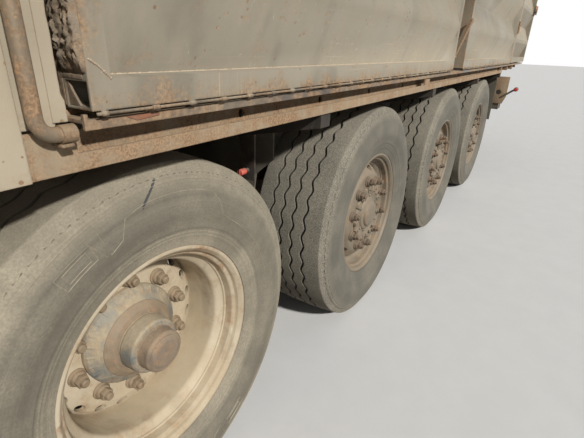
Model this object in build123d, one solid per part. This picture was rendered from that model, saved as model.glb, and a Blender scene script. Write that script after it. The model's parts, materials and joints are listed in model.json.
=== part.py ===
"""Five-axle dump truck with steel drop sides and a front telescopic tipping cylinder.

Sizes are in millimetres. +X runs forward, +Y to the truck's left and +Z up. The origin is on
the ground, at the middle of the truck's length and width. Most pieces are drawn for the left
side and mirrored to the right.
"""
from math import atan2, cos, degrees, hypot, radians, sin
import os

from build123d import *

# Axles and wheels
STEER_X = 3510
DRIVE_X = 1556
TRAIL_X = (310, -998, -2306)
REAR_X = (DRIVE_X,) + TRAIL_X
WHEEL_Z = 520
TYRE_R = 520
TYRE_HALF = 192
WHEEL_Y = 1053
RIM_HALF = 162
RIM_R = 298.5
STUD_CIRCLE_R = 167.5
NUTS = 10
VENT_CIRCLE_R = 222
VENT_R = 16
HUB_BORE_R = 46
SPINDLE_R = 45
KINGPIN_Y = 930
KINGPIN_R = 22

# Frame
RAIL_Z = (700, 1000)
RAIL_Y = (345, 425)
RAIL_X = (-4190, 4540)
RAIL_T = 8
SUBFRAME_TOP = 1072
SUBFRAME_FRONT = 1700
CROSS_X = (-3100, -1652, -344, 933, 2500, 4440)
OUTRIGGER_X = (-2870, -1652, -344, 933, 2120, 2560)

# Side channel, open outboard
CHANNEL_Y = (1213, 1268)
CHANNEL_Z = (1080, 1136)
CHANNEL_T = 7
CHANNEL_LIP = 28
CHANNEL_X = (-2902, 1756)
CHANNEL_SHELF_FRONT = 2700
PLATE_TOP = 1148

# Body
BED_FRONT = 1726
BED_REAR = -4797
BED_OUTER = 1275
SIDE_T = 68
SIDE_INNER = BED_OUTER - SIDE_T
FLOOR_Z = (1158, 1166)
FLOOR_HALF = 1198
FLOOR_EDGE = (1259, 1266)
FLOOR_LIP_Z = (1140, 1156)
FLOOR_EDGE_T = 6
SIDE_BOTTOM = 1170
SIDE_TOP = 2160
RAIL_H = 58
STILE_W = 60
SHEET_T = 4
RIDGE_PITCH = 350
FIRST_RIDGE_Z = 1405
RIDGE_FLAT = 36
FRONT_PANEL_X = (-642, 1726)
REAR_PANEL_X = (-3330, -904)
MID_POST_X = (-899, -647)
REAR_POST_X = (-3388, -3335)
REAR_SIDE_X = (-4797, -3388)
SILL_Z = (1080, 1158)
BEARER_Z = (1092, 1158)
BEARER_W = 60
SIDE_HINGE = (1277, 1165.4)
HINGE_ROD_R = 2.7
KNUCKLE_R = 4.4
KNUCKLE = 16
KNUCKLE_PITCH = 180
BED_HINGE = (-4140, 1040)
BED_PIN_R = 25
BED_LUG_Y = (366, 404)
HEADBOARD_X = (1656, 1718)
HEADBOARD_TOP = 2260
RECESS_HALF = 160
RECESS_BACK = 1436
RECESS_TOP = 2020
TAILGATE_X = (-4864, -4803)
TAILGATE_HINGE = (-4834, 2205)
LENGTH_HALF = 4880

# Tipping cylinder: foot, eye at rest, and the stages' radii from the outside in
FOOT = (2010, 800)
EYE = (1900, 2200)
TIP_MAX = 46
TUBE_R = 95
STAGES = (80, 67, 54, 41)
STAGE_WALL = 9
FOOT_PIN_R = 28
EYE_R = 46
EYE_HALF = 38
EAR_Y = (74, 92)

# Cabinets and pipe
CABINET_X = (1834, 2700)
PIPE = (1820, 1288, 1146)
PIPE_BEND = 26
PIPE_R = 11
COUPLING_R = 13.5

# Headlamps
LAMP_Y = (800, 1180)
LAMP_Z = (520, 700)

# Cab
CAB_HALF = 1150
CAB_REAR = 3080
CAB_FRONT = 4790
CAB_FLOOR = 1180
CAB_SKIRT = 770
CAB_ROOF = 2960
CAB_WALL = 50
STEP_X = 4168
CAB_HINGE = (4660, 820)
DOOR_X = (3640, 4624)
DOOR_Z = (1195, 2790)
WINDOW_Z = 1960
DOOR_PIN = (4632, 1150)
DOOR_PIN_Z = ((1300, 1380), (1860, 1940))
DOOR_PIN_R = 9
WING_R = 640


def block(x, y, z):
    """A block between the low and high values of x, y and z."""
    size = [high - low for low, high in (x, y, z)]
    return Pos(x[0], y[0], z[0]) * Solid.make_box(*size)


def mirrored(shape):
    """The same shape on the truck's other side."""
    return shape.mirror(Plane.XZ)


def pair(*shapes):
    """Shapes of the left side with their mirror images."""
    return list(shapes) + [mirrored(shape) for shape in shapes]


def polygon(points):
    """A flat face with straight edges."""
    return Face(Wire.make_polygon([Vector(*point) for point in points], close=True))


def along_x(points, x):
    """Extrude a (y, z) outline from the low to the high x."""
    face = polygon([(x[0], y, z) for y, z in points])
    return Solid.extrude(face, Vector(x[1] - x[0], 0, 0))


def along_y(points, y):
    """Extrude an (x, z) outline from the low to the high y."""
    face = polygon([(px, y[0], pz) for px, pz in points])
    return Solid.extrude(face, Vector(0, y[1] - y[0], 0))


def rounded(points):
    """A flat face with straight edges, its corners rounded by each row's last number."""
    face = polygon([row[:3] for row in points])
    for radius in sorted({row[3] for row in points} - {0}):
        places = [Vector(*row[:3]) for row in points if row[3] == radius]
        corners = [v for v in face.vertices() if min((v.center() - place).length for place in places) < 0.01]
        face = face.fillet_2d(radius, corners)
    return face


def turned_y(points, x=0, y=0, z=0):
    """Revolve an outline of (y, radius) or (y, radius, rounding) rows about an axis along Y."""
    face = rounded([(row[1], row[0], 0, row[2] if len(row) > 2 else 0) for row in points])
    return Pos(x, y, z) * Solid.revolve(face, 360, Axis.Y)


def rod(start, end, radius):
    """A round bar between two points."""
    line = Vector(*end) - Vector(*start)
    return Solid.make_cylinder(radius, line.length, Plane(origin=start, z_dir=line))


def pipe(start, end, outer, inner):
    """A round tube between two points."""
    return rod(start, end, outer) - rod(start, end, inner)


def joined(shapes):
    """One shape from several that touch, or a group of those that don't."""
    first, *rest = shapes
    return first.fuse(*rest) if rest else first


def save(name, *shapes):
    """Write one node's STEP file."""
    solids = [solid for shape in shapes for solid in shape.solids()]
    export_step(solids[0] if len(solids) == 1 else Compound(solids), f"parts/{name}.step")


# Wheels

def tyre():
    """A wide single tyre, its middle at the origin, with rounded shoulders and sidewalls."""
    half = [(158, 512, 12), (182, 468, 60), (TYRE_HALF + 2, 396, 90), (168, 318, 20), (163, 300, 0),
            (147.5, 300, 0), (146.5, 289, 0), (118, 282, 0)]
    other = [(-y, r, rounding) for y, r, rounding in reversed(half)]
    return turned_y([(0, TYRE_R, 0)] + half + other)


def rim_barrel():
    """The rim's rolled section: outer flange, bead seats and drop centre."""
    return turned_y([
        (RIM_HALF, RIM_R, 3), (151, RIM_R, 0), (148.5, 287, 0), (117, 279, 0), (96, 250, 0), (12, 250, 0),
        (-12, 266, 0), (-117, 279, 0), (-148.5, 287, 0), (-151, RIM_R, 0), (-RIM_HALF, RIM_R, 3),
        (-RIM_HALF, 290, 0), (-154, 279, 0), (-112, 268, 0), (-14, 255, 0), (8, 240, 0), (98, 240, 14),
        (122, 268, 10), (152, 276, 6), (RIM_HALF, 288, 4)])


def on_circle(radius, turn):
    """The x and z of a point on a wheel's circle, the turn counted in nuts."""
    angle = radians(360 / NUTS * turn)
    return radius * cos(angle), radius * sin(angle)


def nut_ring(face_y):
    """Wheel nuts on their circle: a washer, the nut and the stud's end."""
    nuts = []
    for index in range(NUTS):
        x, z = on_circle(STUD_CIRCLE_R, index + 0.5)
        nuts.append(rod((x, face_y - 4, z), (x, face_y + 6, z), 20))
        nuts.append(rod((x, face_y + 5, z), (x, face_y + 27, z), 14))
    return nuts


def vented(disc, y):
    """The disc with a round vent hole between each two nuts."""
    holes = []
    for index in range(NUTS):
        x, z = on_circle(VENT_CIRCLE_R, index)
        holes.append(rod((x, y[0], z), (x, y[1], z), VENT_R))
    return disc.cut(*holes)


def shallow_wheel():
    """Disc wheel whose disc is near the outer side, with its hub and drum."""
    disc = turned_y([(134, 120), (134, 202), (100, 232), (80, 245), (66, 245), (88, 226), (120, 198),
                     (120, 120)])
    hub = turned_y([(-20, HUB_BORE_R, 0), (-20, 90, 0), (92, 96, 0), (96, 198, 0), (-110, 198, 0),
                    (-110, 208, 0), (104, 208, 0), (120, 186, 0), (120, 138, 0), (140, 136, 4), (144, 112, 0),
                    (138, 92, 6), (150, 78, 5), (152, 62, 2), (166, 58, 5), (168, 0, 0), (60, 0, 0),
                    (60, HUB_BORE_R, 0)])
    return joined([rim_barrel(), vented(disc, (60, 140)), hub] + nut_ring(134))


def deep_wheel():
    """Drive wheel whose disc is far inside the rim, with a domed hub."""
    disc = turned_y([(-8, 120), (-8, 202), (16, 243), (34, 247), (12, 247), (0, 240), (-22, 202),
                     (-22, 120)])
    hub = turned_y([(-110, HUB_BORE_R, 0), (-110, 90, 0), (-60, 96, 0), (-56, 198, 0), (-146, 198, 0),
                    (-146, 208, 0), (-44, 208, 0), (-22, 186, 0), (-22, 142, 0), (10, 140, 4), (24, 132, 14),
                    (52, 88, 8), (57, 75, 0), (77, 75, 2), (77, 57, 0), (124, 57, 0), (131, 52, 4), (133, 0, 0),
                    (-10, 0, 0), (-10, HUB_BORE_R, 0)])
    return joined([rim_barrel(), vented(disc, (-30, 40)), hub] + nut_ring(-8))


# Frame

def chassis_rails():
    """Two C-section rails with the subframe's box beams on them."""
    web, edge = RAIL_Y[1], RAIL_Y[0]
    low, high = RAIL_Z
    section = [(edge, low), (web, low), (web, high), (edge, high), (edge, high - RAIL_T),
               (web - RAIL_T, high - RAIL_T), (web - RAIL_T, low + RAIL_T), (edge, low + RAIL_T)]
    rail = along_x(section, RAIL_X)
    beam = block((BED_HINGE[0] + 60, SUBFRAME_FRONT), RAIL_Y, (RAIL_Z[1], SUBFRAME_TOP))
    hinge_x, hinge_z = BED_HINGE
    ear_outline = [(hinge_x - 46, high - 36), (hinge_x + 80, high - 36), (hinge_x + 80, high),
                   (hinge_x + 60, high + 36), (hinge_x + 30, hinge_z + 24),
                   (hinge_x, hinge_z + 34), (hinge_x - 30, hinge_z + 20), (hinge_x - 46, high)]
    ears = [along_y(ear_outline, (y, y + 18)) for y in (web, edge - 18)]
    pin = rod((hinge_x, edge - 30, hinge_z), (hinge_x, web + 30, hinge_z), BED_PIN_R)
    return pair(joined([rail, beam] + ears + [pin]))


def crossmembers():
    """Crossmembers between the rails, the cylinder's foot shaft and the rear towing jaw."""
    inner = RAIL_Y[1] - RAIL_T
    pieces = []
    for x in CROSS_X:
        outline = [(x - 35, 740), (x + 35, 740), (x + 35, 748), (x - 27, 748), (x - 27, 932),
                   (x + 35, 932), (x + 35, 940), (x - 35, 940)]
        pieces.append(along_y(outline, (-inner, inner)))
    foot_x, foot_z = FOOT
    pieces.append(rod((foot_x, -inner, foot_z), (foot_x, inner, foot_z), FOOT_PIN_R))
    rear = block((-4190, -4170), (-inner, inner), (708, 960))
    lip = along_y([(-4190, 730), (-4300, 730), (-4310, 745), (-4300, 772), (-4230, 772), (-4230, 828),
                   (-4300, 828), (-4310, 855), (-4300, 870), (-4190, 870)], (-70, 70))
    bore = rod((-4262, 0, 700), (-4262, 0, 900), 25)
    pieces.append(joined([rear, lip]) - bore)
    return pieces


def side_channels():
    """Channels along the body's foot with a turned-up lip, and the plates that close their front."""
    inner, outer = CHANNEL_Y
    low, high = CHANNEL_Z
    lip = low + CHANNEL_LIP
    section = [(inner, low), (outer, low), (outer, lip), (outer - CHANNEL_T, lip),
               (outer - CHANNEL_T, low + CHANNEL_T), (inner + CHANNEL_T, low + CHANNEL_T),
               (inner + CHANNEL_T, high), (inner, high)]
    channel = along_x(section, CHANNEL_X)
    for x in range(-2700, 1700, 400):
        channel = channel - rod((x, inner - 1, low + 36), (x, inner + 9, low + 36), 11)
    front = (CHANNEL_X[1], CHANNEL_SHELF_FRONT)
    plate = block(front, (outer - CHANNEL_T, outer), (low, PLATE_TOP))
    shelf = block(front, CHANNEL_Y, (low, low + CHANNEL_T))
    shelf_web = block(front, (inner, inner + CHANNEL_T), (low, high))
    tie = block((-190, -110), (outer - CHANNEL_T, outer), (low, high))
    return pair(joined([channel, plate, shelf, shelf_web, tie]))


def outriggers():
    """Arms from the rails out to the side channels, between the tyres."""
    arms = []
    for x in OUTRIGGER_X:
        end = CHANNEL_Y[1] - 6
        arms.append(along_x([(RAIL_Y[1], 860), (RAIL_Y[1], 996), (RAIL_Y[1] + 60, CHANNEL_Z[0]),
                             (end, CHANNEL_Z[0]), (end, CHANNEL_Z[0] - 44)], (x - 30, x + 30)))
    return pair(*arms)


def leaf_spring(x, y, half_length, low, high, leaves):
    """A pack of leaves, each shorter than the one above it."""
    pieces = []
    step = (high - low) / leaves
    for index in range(leaves):
        reach = half_length * (1 - 0.16 * (leaves - 1 - index))
        top = low + step * (index + 1)
        pieces.append(along_y([(x - reach, top - step + 14), (x, top - step), (x + reach, top - step + 14),
                               (x + reach, top + 14), (x, top), (x - reach, top + 14)],
                              (y - 42, y + 42)))
    return joined(pieces)


def springs():
    """Leaf springs over every axle, with their hangers on the rails."""
    pieces = []
    for x, y, half in [(STEER_X, 385, 640)] + [(x, 520, 560) for x in REAR_X]:
        pack = leaf_spring(x, y, half, 582, 654, 4)
        hangers = []
        for side in (-1, 1):
            end = x + side * (half - 30)
            hangers.append(block((end - 26, end + 26), (y - 40, y + 40), (655, 690)))
            inner_y = min(y - 40, RAIL_Y[1])
            hangers.append(block((end - 26, end + 26), (inner_y, y + 40), (690, 720))
                           if y > RAIL_Y[1] else
                           block((end - 26, end + 26), (y - 40, y + 40), (690, 700)))
        pieces.append(joined([pack] + hangers))
    return pair(*pieces)


def front_axle():
    """A forged beam with an eye and a kingpin at each end."""
    half_outline = [(0, 446), (300, 446), (480, 470), (KINGPIN_Y, 470), (KINGPIN_Y, 570),
                    (500, 560), (300, 536), (0, 536)]
    left = along_x(half_outline, (STEER_X - 36, STEER_X + 36))
    seat = block((STEER_X - 60, STEER_X + 60), (330, 440), (530, 582))
    eye = rod((STEER_X, KINGPIN_Y, 470), (STEER_X, KINGPIN_Y, 570), 44)
    kingpin = rod((STEER_X, KINGPIN_Y, 412), (STEER_X, KINGPIN_Y, 628), KINGPIN_R)
    return joined(pair(left, seat, eye, kingpin))


def knuckle():
    """The left steering knuckle: two lugs, the web between them and the spindle."""
    z_axis = WHEEL_Z
    lugs = []
    for low in (420, 576):
        plate = block((STEER_X - 44, STEER_X + 44), (KINGPIN_Y - 10, KINGPIN_Y + 92), (low, low + 44))
        boss = rod((STEER_X, KINGPIN_Y, low), (STEER_X, KINGPIN_Y, low + 44), 44)
        lugs += [plate, boss]
    web = block((STEER_X - 44, STEER_X + 44), (KINGPIN_Y + 52, KINGPIN_Y + 92), (420, 620))
    spindle = rod((STEER_X, KINGPIN_Y + 90, z_axis), (STEER_X, WHEEL_Y + 54, z_axis), SPINDLE_R)
    backing = turned_y([(0, 60), (0, 178), (6, 178), (6, 60)], STEER_X, KINGPIN_Y + 46, z_axis)
    hole = rod((STEER_X, KINGPIN_Y, 400), (STEER_X, KINGPIN_Y, 640), KINGPIN_R + 0.5)
    swing = rod((STEER_X, KINGPIN_Y, 464), (STEER_X, KINGPIN_Y, 576), 50)
    cut_backing = block((STEER_X - 52, STEER_X + 52), (KINGPIN_Y, KINGPIN_Y + 51.9), (464, 576))
    return joined(lugs + [web, spindle, backing]) - hole - swing - cut_backing


def rear_axles():
    """Four axle beams with spindles; the drive axle has its differential housing."""
    pieces = []
    for x in REAR_X:
        driven = x == DRIVE_X
        end = WHEEL_Y - 14 if driven else WHEEL_Y + 54
        spindle = rod((x, -end, WHEEL_Z), (x, end, WHEEL_Z), SPINDLE_R)
        tube_end = WHEEL_Y - 150 if driven else WHEEL_Y - 114
        beam = block((x - 62, x + 62), (-tube_end + 30, tube_end - 30), (WHEEL_Z - 62, WHEEL_Z + 62))
        plate = turned_y([(0, 40), (0, 150), (8, 150), (8, 40)], x, tube_end, WHEEL_Z)
        parts = [spindle, beam, plate, mirrored(plate)]
        parts += [rod((x, side * (tube_end - 40), WHEEL_Z), (x, side * (tube_end + 6), WHEEL_Z), 62)
                  for side in (-1, 1)]
        if driven:
            bowl = turned_y([(-130, 0), (-130, 90), (-70, 165), (70, 165), (130, 90), (130, 0)], x, 0, WHEEL_Z)
            nose = rod((x + 120, 0, WHEEL_Z + 20), (x + 235, 0, WHEEL_Z + 38), 62)
            parts += [bowl, nose]
        parts += pair(block((x - 70, x + 70), (478, 562), (WHEEL_Z + 50, WHEEL_Z + 62)))
        pieces.append(joined(parts))
    return pieces


def driveline():
    """Engine, gearbox and the shaft to the drive axle, as plain masses."""
    engine = block((3330, 4330), (-300, 300), (640, 1110))
    gearbox = along_x([(-190, 640), (190, 640), (240, 760), (190, 960), (-190, 960), (-240, 760)],
                      (2700, 3331))
    shaft = rod((DRIVE_X + 240, 0, WHEEL_Z + 38), (2702, 0, 720), 46)
    return [joined([engine, gearbox, shaft])]


def frame_equipment():
    """Fuel tank, air tanks, battery box and silencer, hung on the rails."""
    tank = fillet(block((2130, 2830), (560, 1190), (400, 850)).edges().filter_by(Axis.X), 70)
    straps = [block((x - 20, x + 20), (RAIL_Y[1], 570), (740, 780)) for x in (2300, 2660)]
    left = joined([tank] + straps)
    battery = block((2520, 2830), (-1190, -620), (440, 850))
    battery_arm = block((2640, 2700), (-620, -RAIL_Y[1]), (740, 800))
    silencer = fillet(block((2130, 2480), (-1120, -560), (400, 850)).edges().filter_by(Axis.Y), 60)
    silencer_arm = block((2270, 2330), (-560, -RAIL_Y[1]), (740, 800))
    right = [joined([battery, battery_arm]), joined([silencer, silencer_arm])]
    air = []
    for x, side in ((-3300, 1), (-3300, -1)):
        barrel = rod((x - 260, side * 600, 850), (x + 260, side * 600, 850), 120)
        arm = block((x - 20, x + 20), (425, 500), (820, 880))
        air.append(joined([barrel, arm if side > 0 else mirrored(arm)]))
    return [left] + right + air


def front_bumper():
    """Hollow-backed bumper, entry steps, wings over the steered wheels and cab hinge brackets."""
    outline = [(4700, -1250, 380, 0), (4820, -1250, 380, 90), (LENGTH_HALF, -1000, 380, 260),
               (LENGTH_HALF, 1000, 380, 260), (4820, 1250, 380, 90), (4700, 1250, 380, 0),
               (4700, 1165, 380, 0), (4800, 1165, 380, 0), (4815, 1080, 380, 0), (4815, -1080, 380, 0),
               (4800, -1165, 380, 0), (4700, -1165, 380, 0)]
    face = Solid.extrude(rounded(outline), Vector(0, 0, 375))
    low_edge = face.edges().group_by(Axis.Z)[0].sort_by(Axis.X)[-1]
    face = face.chamfer(40, 24, [low_edge])
    sides = pair(block((STEP_X, 4701), (1165, 1250), (380, 755)))
    treads = pair(block((STEP_X, 4500), (900, 1166), (380, 430)),
                  block((STEP_X, 4500), (900, 1166), (715, 755)),
                  block((STEP_X, STEP_X + 20), (900, 1166), (380, 755)))
    beam = pair(block((4440, 4816), (RAIL_Y[0] + 6, RAIL_Y[1] - 14), (560, RAIL_Z[0])))
    brackets = pair(block((RAIL_X[1] + 1, 4690), (362, 398), (RAIL_Z[0] - 1, 800)))
    arms = pair(block((4300, 4500), (RAIL_Y[1], 910), (700, 750)))
    pins = pair(rod((CAB_HINGE[0], 340, CAB_HINGE[1]), (CAB_HINGE[0], 430, CAB_HINGE[1]), 20),
                block((CAB_HINGE[0] - 30, CAB_HINGE[0] + 30), (366, 396), (780, 850)))
    bar = joined([face] + sides + treads + beam + brackets + arms + pins)
    for room in pair(block((4800, LENGTH_HALF + 5), LAMP_Y, LAMP_Z)):
        bar = bar - room
    bore = rod((4700, 0, 600), (4700, 0, 700), 25)
    tow = block((4660, 4816), (-60, 60), (600, 700))
    towed = joined([bar, tow]) - bore
    angles = [radians(8 + 8 * step) for step in range(21)]
    outer = [(STEER_X + (WING_R + 5) * cos(a), WHEEL_Z + (WING_R + 5) * sin(a)) for a in angles]
    inner = [(STEER_X + WING_R * cos(a), WHEEL_Z + WING_R * sin(a)) for a in reversed(angles)]
    wing = along_y(outer + inner, (870, 1246))
    stay = block((2880, 2930), (RAIL_Y[1], 1240), (760, 800))
    front_stay = block((4074, 4108), (RAIL_Y[1], 1240), (800, 834))
    return [towed] + pair(joined([wing, stay, front_stay]))


def cabinets():
    """Two steel cabinets behind the cab with double doors, standing on the channels' front shelf."""
    rear, front = CABINET_X
    body = block((rear - 48, front), (720, 1212), (1090, 2090))
    skin = block((rear, front), (1212, BED_OUTER), (1152, 2090))
    skirt = block((rear, front), (CHANNEL_Y[1] + 1, BED_OUTER), (CHANNEL_Z[0], 2090))
    edge_plate = block((rear - 54, rear + 4), (1211, 1262), (1152, 2090))
    shape = joined([body, skin, skirt, edge_plate])
    middle = (rear + front) / 2
    for low_x, high_x in ((rear + 40, middle - 12), (middle + 12, front - 40)):
        ring = block((low_x, high_x), (BED_OUTER - 5, BED_OUTER + 1), (1200, 2050))
        ring = ring - block((low_x + 6, high_x - 6), (BED_OUTER - 6, BED_OUTER + 2), (1206, 2044))
        shape = shape - ring
        shape = shape + block((high_x - 60, high_x - 36), (BED_OUTER - 1, BED_OUTER + 5), (1560, 1680))
    feet = [block((x - 30, x + 30), (RAIL_Y[1], 724), (1100, 1140)) for x in (1880, 2640)]
    posts = [block((x - 30, x + 30), (RAIL_Y[1], RAIL_Y[1] + 12), (900, 1140)) for x in (1880, 2640)]
    return pair(joined([shape] + feet + posts))


def hydraulic_pipe():
    """Steel pipe with its elbow and coupling, in front of the left cabinet's edge."""
    x, y, z = PIPE
    bend = PIPE_BEND
    middle = bend * (1 - cos(radians(45)))
    path = Wire([Edge.make_line((x, y, 2080), (x, y, z + bend)),
                 Edge.make_three_point_arc((x, y, z + bend), (x - middle, y, z + middle), (x - bend, y, z)),
                 Edge.make_line((x - bend, y, z), (x - bend - 12, y, z))])
    section = Face(Wire.make_circle(PIPE_R, Plane(origin=(x, y, 2080), z_dir=(0, 0, -1))))
    tube = Solid.sweep(section, path)
    coupling = rod((x - bend - 26, y, z), (x - bend - 4, y, z), COUPLING_R)
    clip = block((x - 22, CABINET_X[0] - 1), (1262, y), (1900, 1930))
    return [joined([tube, coupling, clip])]


def mudflaps():
    """Rubber flaps behind the last axle, under their carrying bars."""
    flap = block((-2950, -2942), (866, 1236), (590, 1075))
    bar = block((-2942, -2912), (RAIL_Y[1], 1236), (1010, 1060))
    return pair(joined([flap, bar]))


def rear_bar():
    """Underrun bar on two hangers, with a lamp bracket at each end."""
    bar = block((-4060, -3960), (-1180, 1180), (590, 690))
    hangers = pair(block((-4050, -3970), (RAIL_Y[1], RAIL_Y[1] + 12), (600, 900)))
    lamp_plates = pair(block((-4064, -4056), (820, 1190), (600, 840)))
    return [joined([bar] + hangers + lamp_plates)]


def lamps():
    """Headlamps in the bumper and lamp clusters on the rear bar."""
    head = block((4822, LENGTH_HALF - 4), LAMP_Y, LAMP_Z)
    tail = block((-4110, -4064), (840, 1170), (700, 820))
    return pair(head, tail)


# Cab

def cab_body(inset, side_edge):
    """The cab's closed form, drawn in by an inset, its sides rounded into the roof and the front."""
    outline = [(CAB_REAR + inset, CAB_FLOOR + inset, 30), (CAB_REAR + inset, CAB_ROOF - inset - 30, 110),
               (3900, CAB_ROOF - inset, 900), (4390, CAB_ROOF - inset - 20, 160),
               (4620 - inset, CAB_ROOF - 130 - inset, 90), (4762 - inset, WINDOW_Z, 200),
               (CAB_FRONT - inset, 1700, 160), (CAB_FRONT - inset, CAB_FLOOR + inset, 30)]
    half = CAB_HALF - inset
    face = rounded([(x, -half, z, radius) for x, z, radius in outline])
    solid = Solid.extrude(face, Vector(0, 2 * half, 0))
    ends = [end.edges().filter_by(lambda edge: edge.center().Z > CAB_FLOOR + 200)
            for end in (solid.faces().sort_by(Axis.Y)[0], solid.faces().sort_by(Axis.Y)[-1])]
    return solid.fillet(side_edge, list(ends[0]) + list(ends[1]))


def cab_shell():
    """Hollow cab with its window and door openings cut, a visor, and skirts ahead of the wheels."""
    shell = cab_body(0, 85)
    room = cab_body(CAB_WALL, 40)
    screen = rounded([(4300, -1010, 1990, 70), (4300, 1010, 1990, 70), (4300, 980, 2745, 90),
                      (4300, -980, 2745, 90)])
    rear_window = block((3000, 3200), (-760, 760), (2060, 2640))
    shell = shell - room - Solid.extrude(screen, Vector(600, 0, 0)) - rear_window
    for side in (-1, 1):
        low, high = sorted((side * (CAB_HALF - CAB_WALL - 20), side * (CAB_HALF + 20)))
        shell = shell - along_y(door_outline(-8), (low, high))
    nose = fillet(block((CAB_FRONT - 110, CAB_FRONT), (-CAB_HALF, CAB_HALF), (CAB_SKIRT, CAB_FLOOR + 60))
                  .edges().filter_by(Axis.Z).sort_by(Axis.X)[-2:], 85)
    nose = nose - block((CAB_FRONT - 120, CAB_FRONT - 50), (-CAB_HALF + 50, CAB_HALF - 50),
                        (CAB_SKIRT - 5, CAB_FLOOR + 5))
    nose = nose - block((4700, 4800), (-600, 600), (CAB_SKIRT - 10, 1100))
    panel = rounded([(CAB_FRONT - 30, -760, 1250, 50), (CAB_FRONT - 30, 760, 1250, 50),
                     (CAB_FRONT - 30, 840, 1640, 50), (CAB_FRONT - 30, -840, 1640, 50)])
    shell = shell - Solid.extrude(panel, Vector(60, 0, 0))
    skirts = pair(block((STEP_X, CAB_FRONT - 90), (CAB_HALF - 50, CAB_HALF), (CAB_SKIRT, CAB_FLOOR + 10)))
    visor = along_y([(4606, 2806), (4800, 2752), (4802, 2766), (4600, 2830)], (-1010, 1010))
    lugs = pair(block((CAB_HINGE[0] - 40, CAB_HINGE[0] + 40), (404, 424), (780, 1190)),
                block((CAB_HINGE[0] - 40, CAB_HINGE[0] + 40), (336, 356), (780, 1190)))
    pin_hole = rod((CAB_HINGE[0], -500, CAB_HINGE[1]), (CAB_HINGE[0], 500, CAB_HINGE[1]), 20.5)
    for low, high in DOOR_PIN_Z:
        for pocket in pair(rod((*DOOR_PIN, low - 8), (*DOOR_PIN, high + 8), DOOR_PIN_R + 5.5)):
            shell = shell - pocket
    return [joined([shell, nose, visor] + skirts + lugs) - pin_hole]


def door_outline(inset):
    """The door's side outline; a negative inset gives the opening round it."""
    low_x, high_x = DOOR_X
    low_z, high_z = DOOR_Z
    return [(low_x + inset, low_z + inset), (low_x + inset, high_z - inset),
            (4490 - inset, high_z - inset), (high_x - inset, 2010), (high_x - inset, low_z + inset)]


def door_window():
    """Outline of the door's glass."""
    return [(DOOR_X[0] + 90, WINDOW_Z), (DOOR_X[0] + 90, DOOR_Z[1] - 90), (4430, DOOR_Z[1] - 90),
            (DOOR_X[1] - 90, 2030), (DOOR_X[1] - 90, WINDOW_Z)]


def door():
    """Left door with its frame, pressed waist line, handle and mirrors."""
    panel = along_y(door_outline(0), (CAB_HALF - CAB_WALL, CAB_HALF))
    panel = panel - along_y(door_window(), (CAB_HALF - CAB_WALL - 10, CAB_HALF + 10))
    panel = panel - block((DOOR_X[0] - 1, DOOR_X[1] + 1), (CAB_HALF - 8, CAB_HALF + 1), (1640, 1664))
    recess = block((3690, 3880), (CAB_HALF - 22, CAB_HALF + 1), (1790, 1880))
    handle = block((3700, 3860), (CAB_HALF - 8, CAB_HALF + 6), (1822, 1850))
    fixing = block((3700, 3716), (CAB_HALF - 24, CAB_HALF - 6), (1822, 1850))
    arms = [rod((4485, CAB_HALF - 2, z), (4485, CAB_HALF + 188, z), 9) for z in (1850, 2570)]
    post = rod((4485, CAB_HALF + 188, 1830), (4485, CAB_HALF + 188, 2590), 12)
    big = block((4440, 4510), (CAB_HALF + 108, CAB_HALF + 300), (2130, 2480))
    small = block((4440, 4510), (CAB_HALF + 108, CAB_HALF + 300), (1930, 2110))
    mirrors = [fillet(head.edges().filter_by(Axis.X), 30) for head in (big, small)]
    hinges = []
    for ends in DOOR_PIN_Z:
        hinges.append(rod((*DOOR_PIN, ends[0]), (*DOOR_PIN, ends[1]), DOOR_PIN_R))
        hinges.append(block((DOOR_X[1] - 4, DOOR_PIN[0]), (DOOR_PIN[1] - DOOR_PIN_R, DOOR_PIN[1]), ends))
    return joined([panel - recess, handle, fixing, post] + arms + mirrors + hinges)


def cab_glass():
    """Windscreen and rear window."""
    lean = (4762 - 4620) / (CAB_ROOF - 130 - WINDOW_Z)
    low, high = WINDOW_Z + 34, 2740
    x_low = 4762 - lean * (low - WINDOW_Z) - 20
    x_high = 4762 - lean * (high - WINDOW_Z) - 20
    screen = along_y([(x_low, low), (x_high, high), (x_high - 8, high), (x_low - 8, low)], (-1006, 1006))
    trim = rounded([(4300, -1006, 1994, 68), (4300, 1006, 1994, 68), (4300, 977, 2741, 88),
                    (4300, -977, 2741, 88)])
    screen = screen & Solid.extrude(trim, Vector(600, 0, 0))
    rear = block((CAB_REAR + 20, CAB_REAR + 28), (-756, 756), (2064, 2636))
    return [screen, rear]


def cab_interior():
    """Seats, dashboard, steering wheel and the tunnel over the engine."""
    floor = CAB_FLOOR + CAB_WALL
    tunnel = block((CAB_REAR + 90, 4560), (-330, 330), (floor, floor + 190))
    face = rounded([(4440, -1050, 1560, 40), (4470, -1050, 1850, 50), (4600, -1050, 1890, 60),
                    (4660, -1050, 1850, 0), (4660, -1050, 1560, 0)])
    dash = Solid.extrude(face, Vector(0, 2100, 0))
    dash_leg = block((4540, 4650), (-300, 300), (floor, 1562))
    seats = []
    for side in (-1, 1):
        centre = side * 690
        base = block((3560, 4060), (centre - 200, centre + 200), (floor, floor + 240))
        cushion = block((3500, 4080), (centre - 250, centre + 250), (floor + 238, floor + 370))
        back = along_y([(3380, floor + 300), (3520, floor + 300), (3420, floor + 960), (3300, floor + 960)],
                       (centre - 240, centre + 240))
        seats.append(joined([base, cushion, back]))
    column = rod((4520, 690, 1700), (4290, 690, 1960), 30)
    wheel = Location((4290, 690, 1960), (0, -42, 0)) * Solid.make_torus(220, 17)
    spokes = Location((4290, 690, 1960), (0, -42, 0)) * Solid.make_box(
        40, 424, 12, Plane(origin=(-20, -212, -6)))
    return [joined([tunnel, dash, dash_leg, column, wheel, spokes])] + seats


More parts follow.
